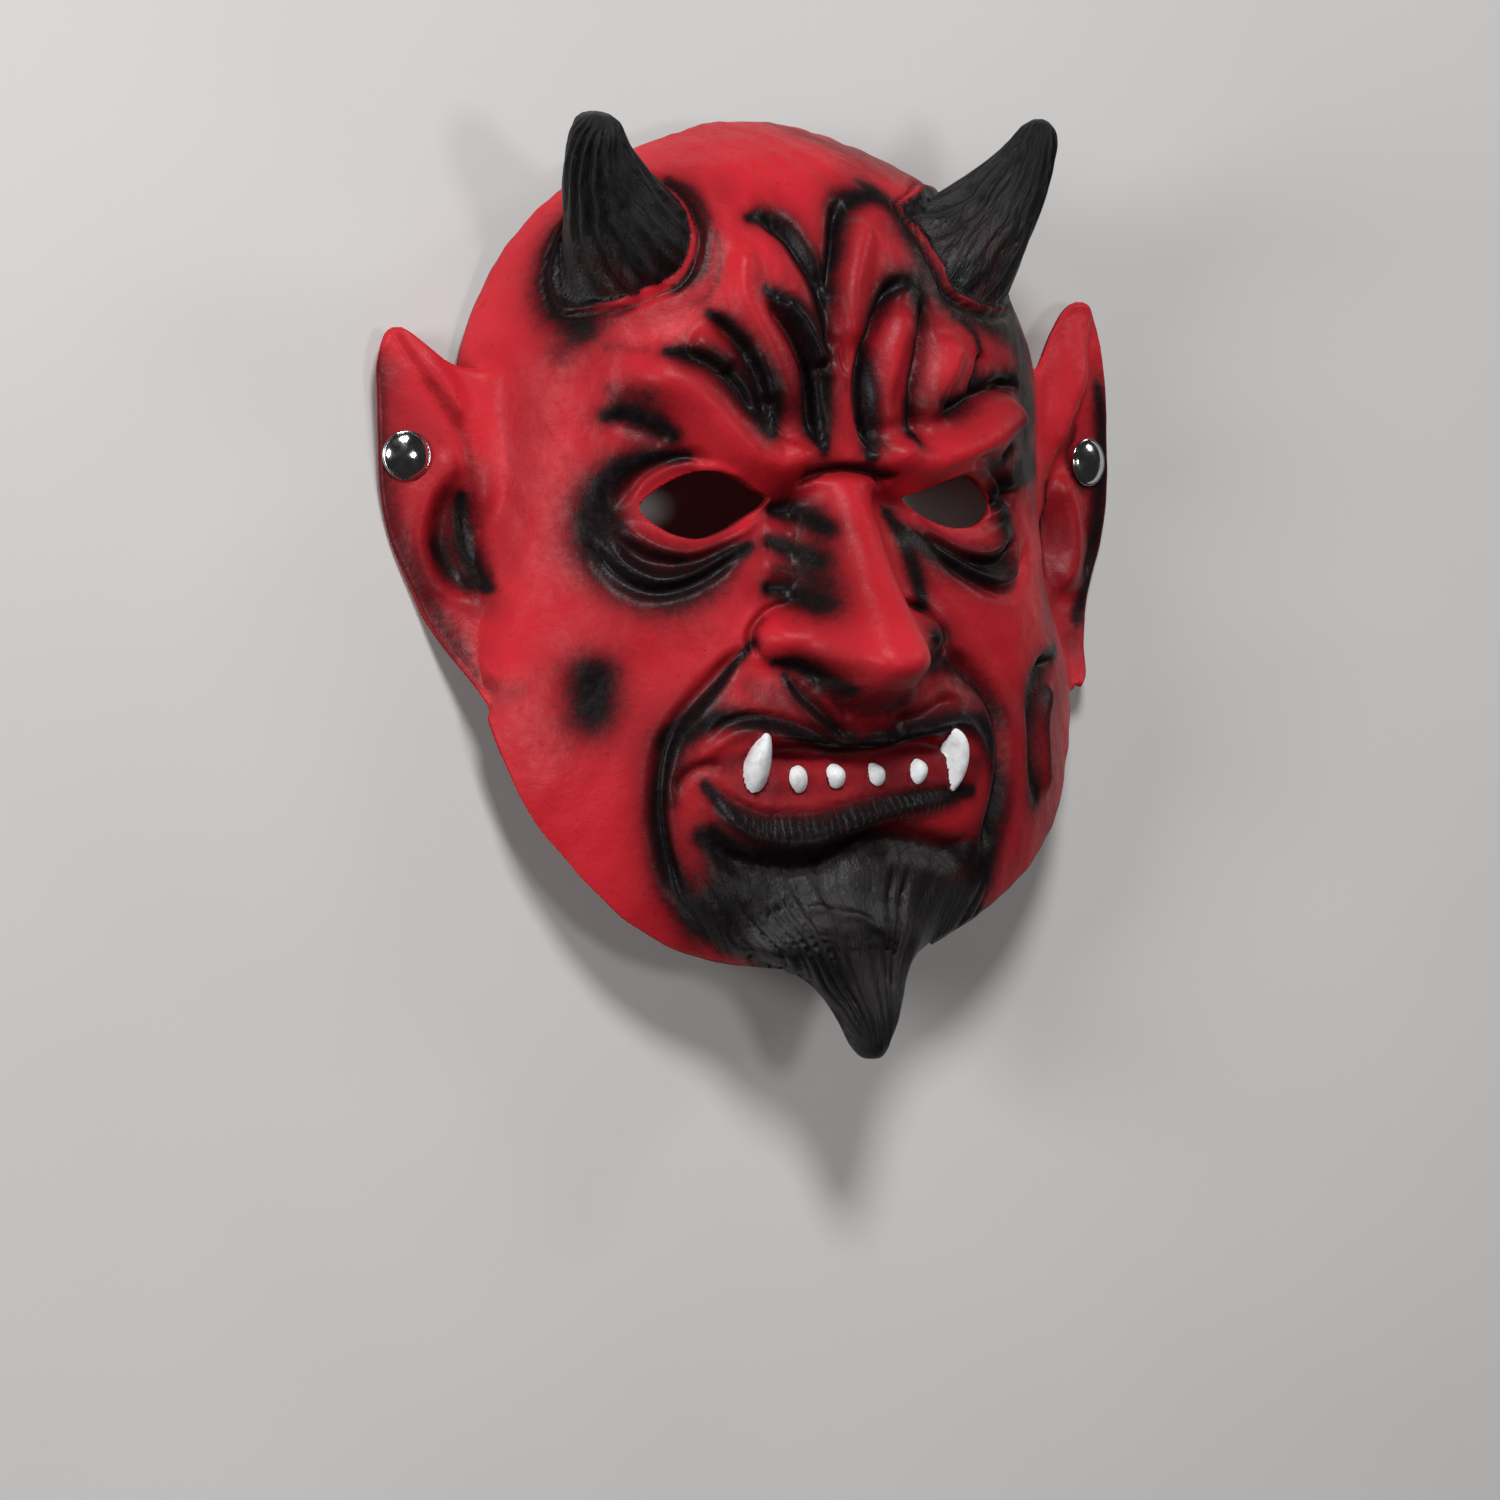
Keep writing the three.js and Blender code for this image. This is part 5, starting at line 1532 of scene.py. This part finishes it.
def bare_latex():
    """The unpainted inside: duller, with the streaks of the poured latex."""
    material, node, links, shader = finish("bare_latex", 0.62)
    broad, fine = spots(node, 26, 5), spots(node, 700, 2)
    body = blend(node, spread(node, broad, 0.3, 0.7), INSIDE_RED, INSIDE_RED_DEEP)
    links.new(body, shader.inputs["Base Color"])
    links.new(spread(node, broad, 0.2, 0.8, 0.5, 0.72), shader.inputs["Roughness"])
    bumps(node, links, shader, [(broad, 0.002, 0.4), (fine, 0.0002, 0.4)])
    return material


def black_with_grain(name, roughness, scale, depth):
    """Black paint over long grain, lighter on the raised streaks as a painted sheen, with the red latex
    faintly under it.
    """
    material, node, links, shader = finish(name, roughness)
    shader.inputs["Specular IOR Level"].default_value = SATIN
    where = attribute(node, "grain", "Vector")
    streaks = node("TexNoise", Vector=where, Scale=scale, Detail=6.0, Roughness=0.65).outputs["Fac"]
    broad, fine = spots(node, 60, 4), spots(node, 900, 2)
    body = blend(node, spread(node, streaks, 0.35, 0.75), CHARCOAL, BEARD_SHEEN)
    under = times(node, attribute(node, "shade"), spread(node, broad, 0.42, 0.7))
    body = blend(node, times(node, under, 0.6), body, RED_UNDER_BLACK)
    links.new(body, shader.inputs["Base Color"])
    rough = spread(node, streaks, 0.25, 0.75, roughness - 0.08, roughness + 0.12)
    links.new(rough, shader.inputs["Roughness"])
    bumps(node, links, shader, [(streaks, depth, 0.9), (broad, 0.001, 0.25), (fine, 0.00025, 0.45)])
    return material


def tooth_white():
    """Glossy white paint, brushed on by hand with a ragged edge."""
    material, node, links, shader = finish("tooth_white", 0.2)
    broad, fine = spots(node, 300, 3), spots(node, 1400, 2)
    body = blend(node, spread(node, broad, 0.4, 0.8), TOOTH_PAINT, TOOTH_GREY)
    ragged = calc(node, "ADD", attribute(node, "gum"), around_half(node, broad, 1.3))
    body = blend(node, spread(node, ragged, 0.45, 0.62), body, GUM_RED)
    links.new(body, shader.inputs["Base Color"])
    links.new(spread(node, fine, 0.3, 0.7, 0.14, 0.3), shader.inputs["Roughness"])
    bumps(node, links, shader, [(broad, 0.0006, 0.5), (fine, 0.0001, 0.4)])
    return material


def stud_chrome():
    """Polished plated brass with fine rubbing marks."""
    material, node, links, shader = finish("stud_chrome", 0.12)
    shader.inputs["Metallic"].default_value = 1
    shader.inputs["Base Color"].default_value = CHROME
    fine, broad = spots(node, 1800, 3), spots(node, 240, 3)
    links.new(spread(node, broad, 0.3, 0.75, 0.07, 0.2), shader.inputs["Roughness"])
    bumps(node, links, shader, [(fine, 0.00004, 0.3), (broad, 0.0001, 0.2)])
    return material


def pale_paper():
    """The floor's roll of pale paper with a faint tooth."""
    material, node, links, shader = finish("pale_paper", 0.75)
    cloud, tooth = spots(node, 3, 3), spots(node, 900, 3)
    body = blend(node, spread(node, cloud, 0.3, 0.7), PAPER, PAPER_LIGHT)
    links.new(body, shader.inputs["Base Color"])
    bumps(node, links, shader, [(tooth, 0.0001, 0.3)])
    return material


def dressed():
    """Every piece made, given its finish and set on the part."""
    red, inside, chrome = painted_latex(), bare_latex(), stud_chrome()
    mask = finished_mask()
    mask.name = "devil_mask"
    horn = black_with_grain("horn_black", 0.33, 1.1, 0.0016)
    beard = black_with_grain("beard_black", 0.33, 1.6, 0.0007)
    for index, material in enumerate((red, inside, horn, beard, tooth_white(), red, inside)):
        mask.data.materials[index] = material
    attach(mask, "root")
    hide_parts("latex_mask")
    for side, mirror in (("left", 1), ("right", -1)):
        for kind, make in (("cap", stud_cap), ("socket", stud_socket)):
            piece = make("stud_" + kind + "_" + side, mirror)
            piece.data.materials.append(chrome)
            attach(piece, "root")
            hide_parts("snap_" + kind + "_" + side)


def paper_floor():
    bm = bmesh.new()
    bmesh.ops.create_grid(bm, x_segments=1, y_segments=1, size=4)
    floor = object_of("floor", bm)
    floor.data.materials.append(pale_paper())


def camera():
    """The camera at the photograph's angle to the face."""
    level, turn = math.cos(VIEW_RISE), Matrix.Rotation(REST_LEAN, 3, "X")
    back = Vector((-math.sin(VIEW_TURN) * level, math.sin(VIEW_RISE), math.cos(VIEW_TURN) * level))
    right = Vector((math.cos(VIEW_TURN), 0, math.sin(VIEW_TURN)))
    axes = Matrix([turn @ axis for axis in (right, back.cross(right), back)]).transposed()
    aim = (turn @ Vector(AIM) + Vector(FACE_ORIGIN)) * MM
    eye = bpy.data.objects.new("camera", bpy.data.cameras.new("camera"))
    bpy.context.scene.collection.objects.link(eye)
    eye.data.lens = LENS
    eye.data.sensor_width = FILM_WIDTH
    stand = aim + axes @ Vector((0, 0, VIEW_DISTANCE * MM))
    eye.matrix_world = Matrix.LocRotScale(stand, axes, None)
    bpy.context.scene.camera = eye


def lamps():
    """Round soft lamps, each turned to the mask, in a faintly lit room."""
    for name, (spot, width, power) in LAMPS.items():
        lamp = bpy.data.objects.new(name, bpy.data.lights.new(name, "AREA"))
        bpy.context.scene.collection.objects.link(lamp)
        lamp.data.shape = "DISK"
        lamp.data.size = width
        lamp.data.energy = power
        turn = (Vector(spot) - Vector(LAMPS_AIM)).to_track_quat("Z", "Y")
        lamp.matrix_world = Matrix.LocRotScale(Vector(spot), turn, None)
    world = bpy.data.worlds.new("studio")
    bpy.context.scene.world = world
    world.use_nodes = True
    room = world.node_tree.nodes["Background"]
    room.inputs["Color"].default_value = (1, 1, 1, 1)
    room.inputs["Strength"].default_value = WORLD_LIGHT


dressed()
paper_floor()
camera()
lamps()
bpy.context.scene.view_settings.view_transform = "Standard"
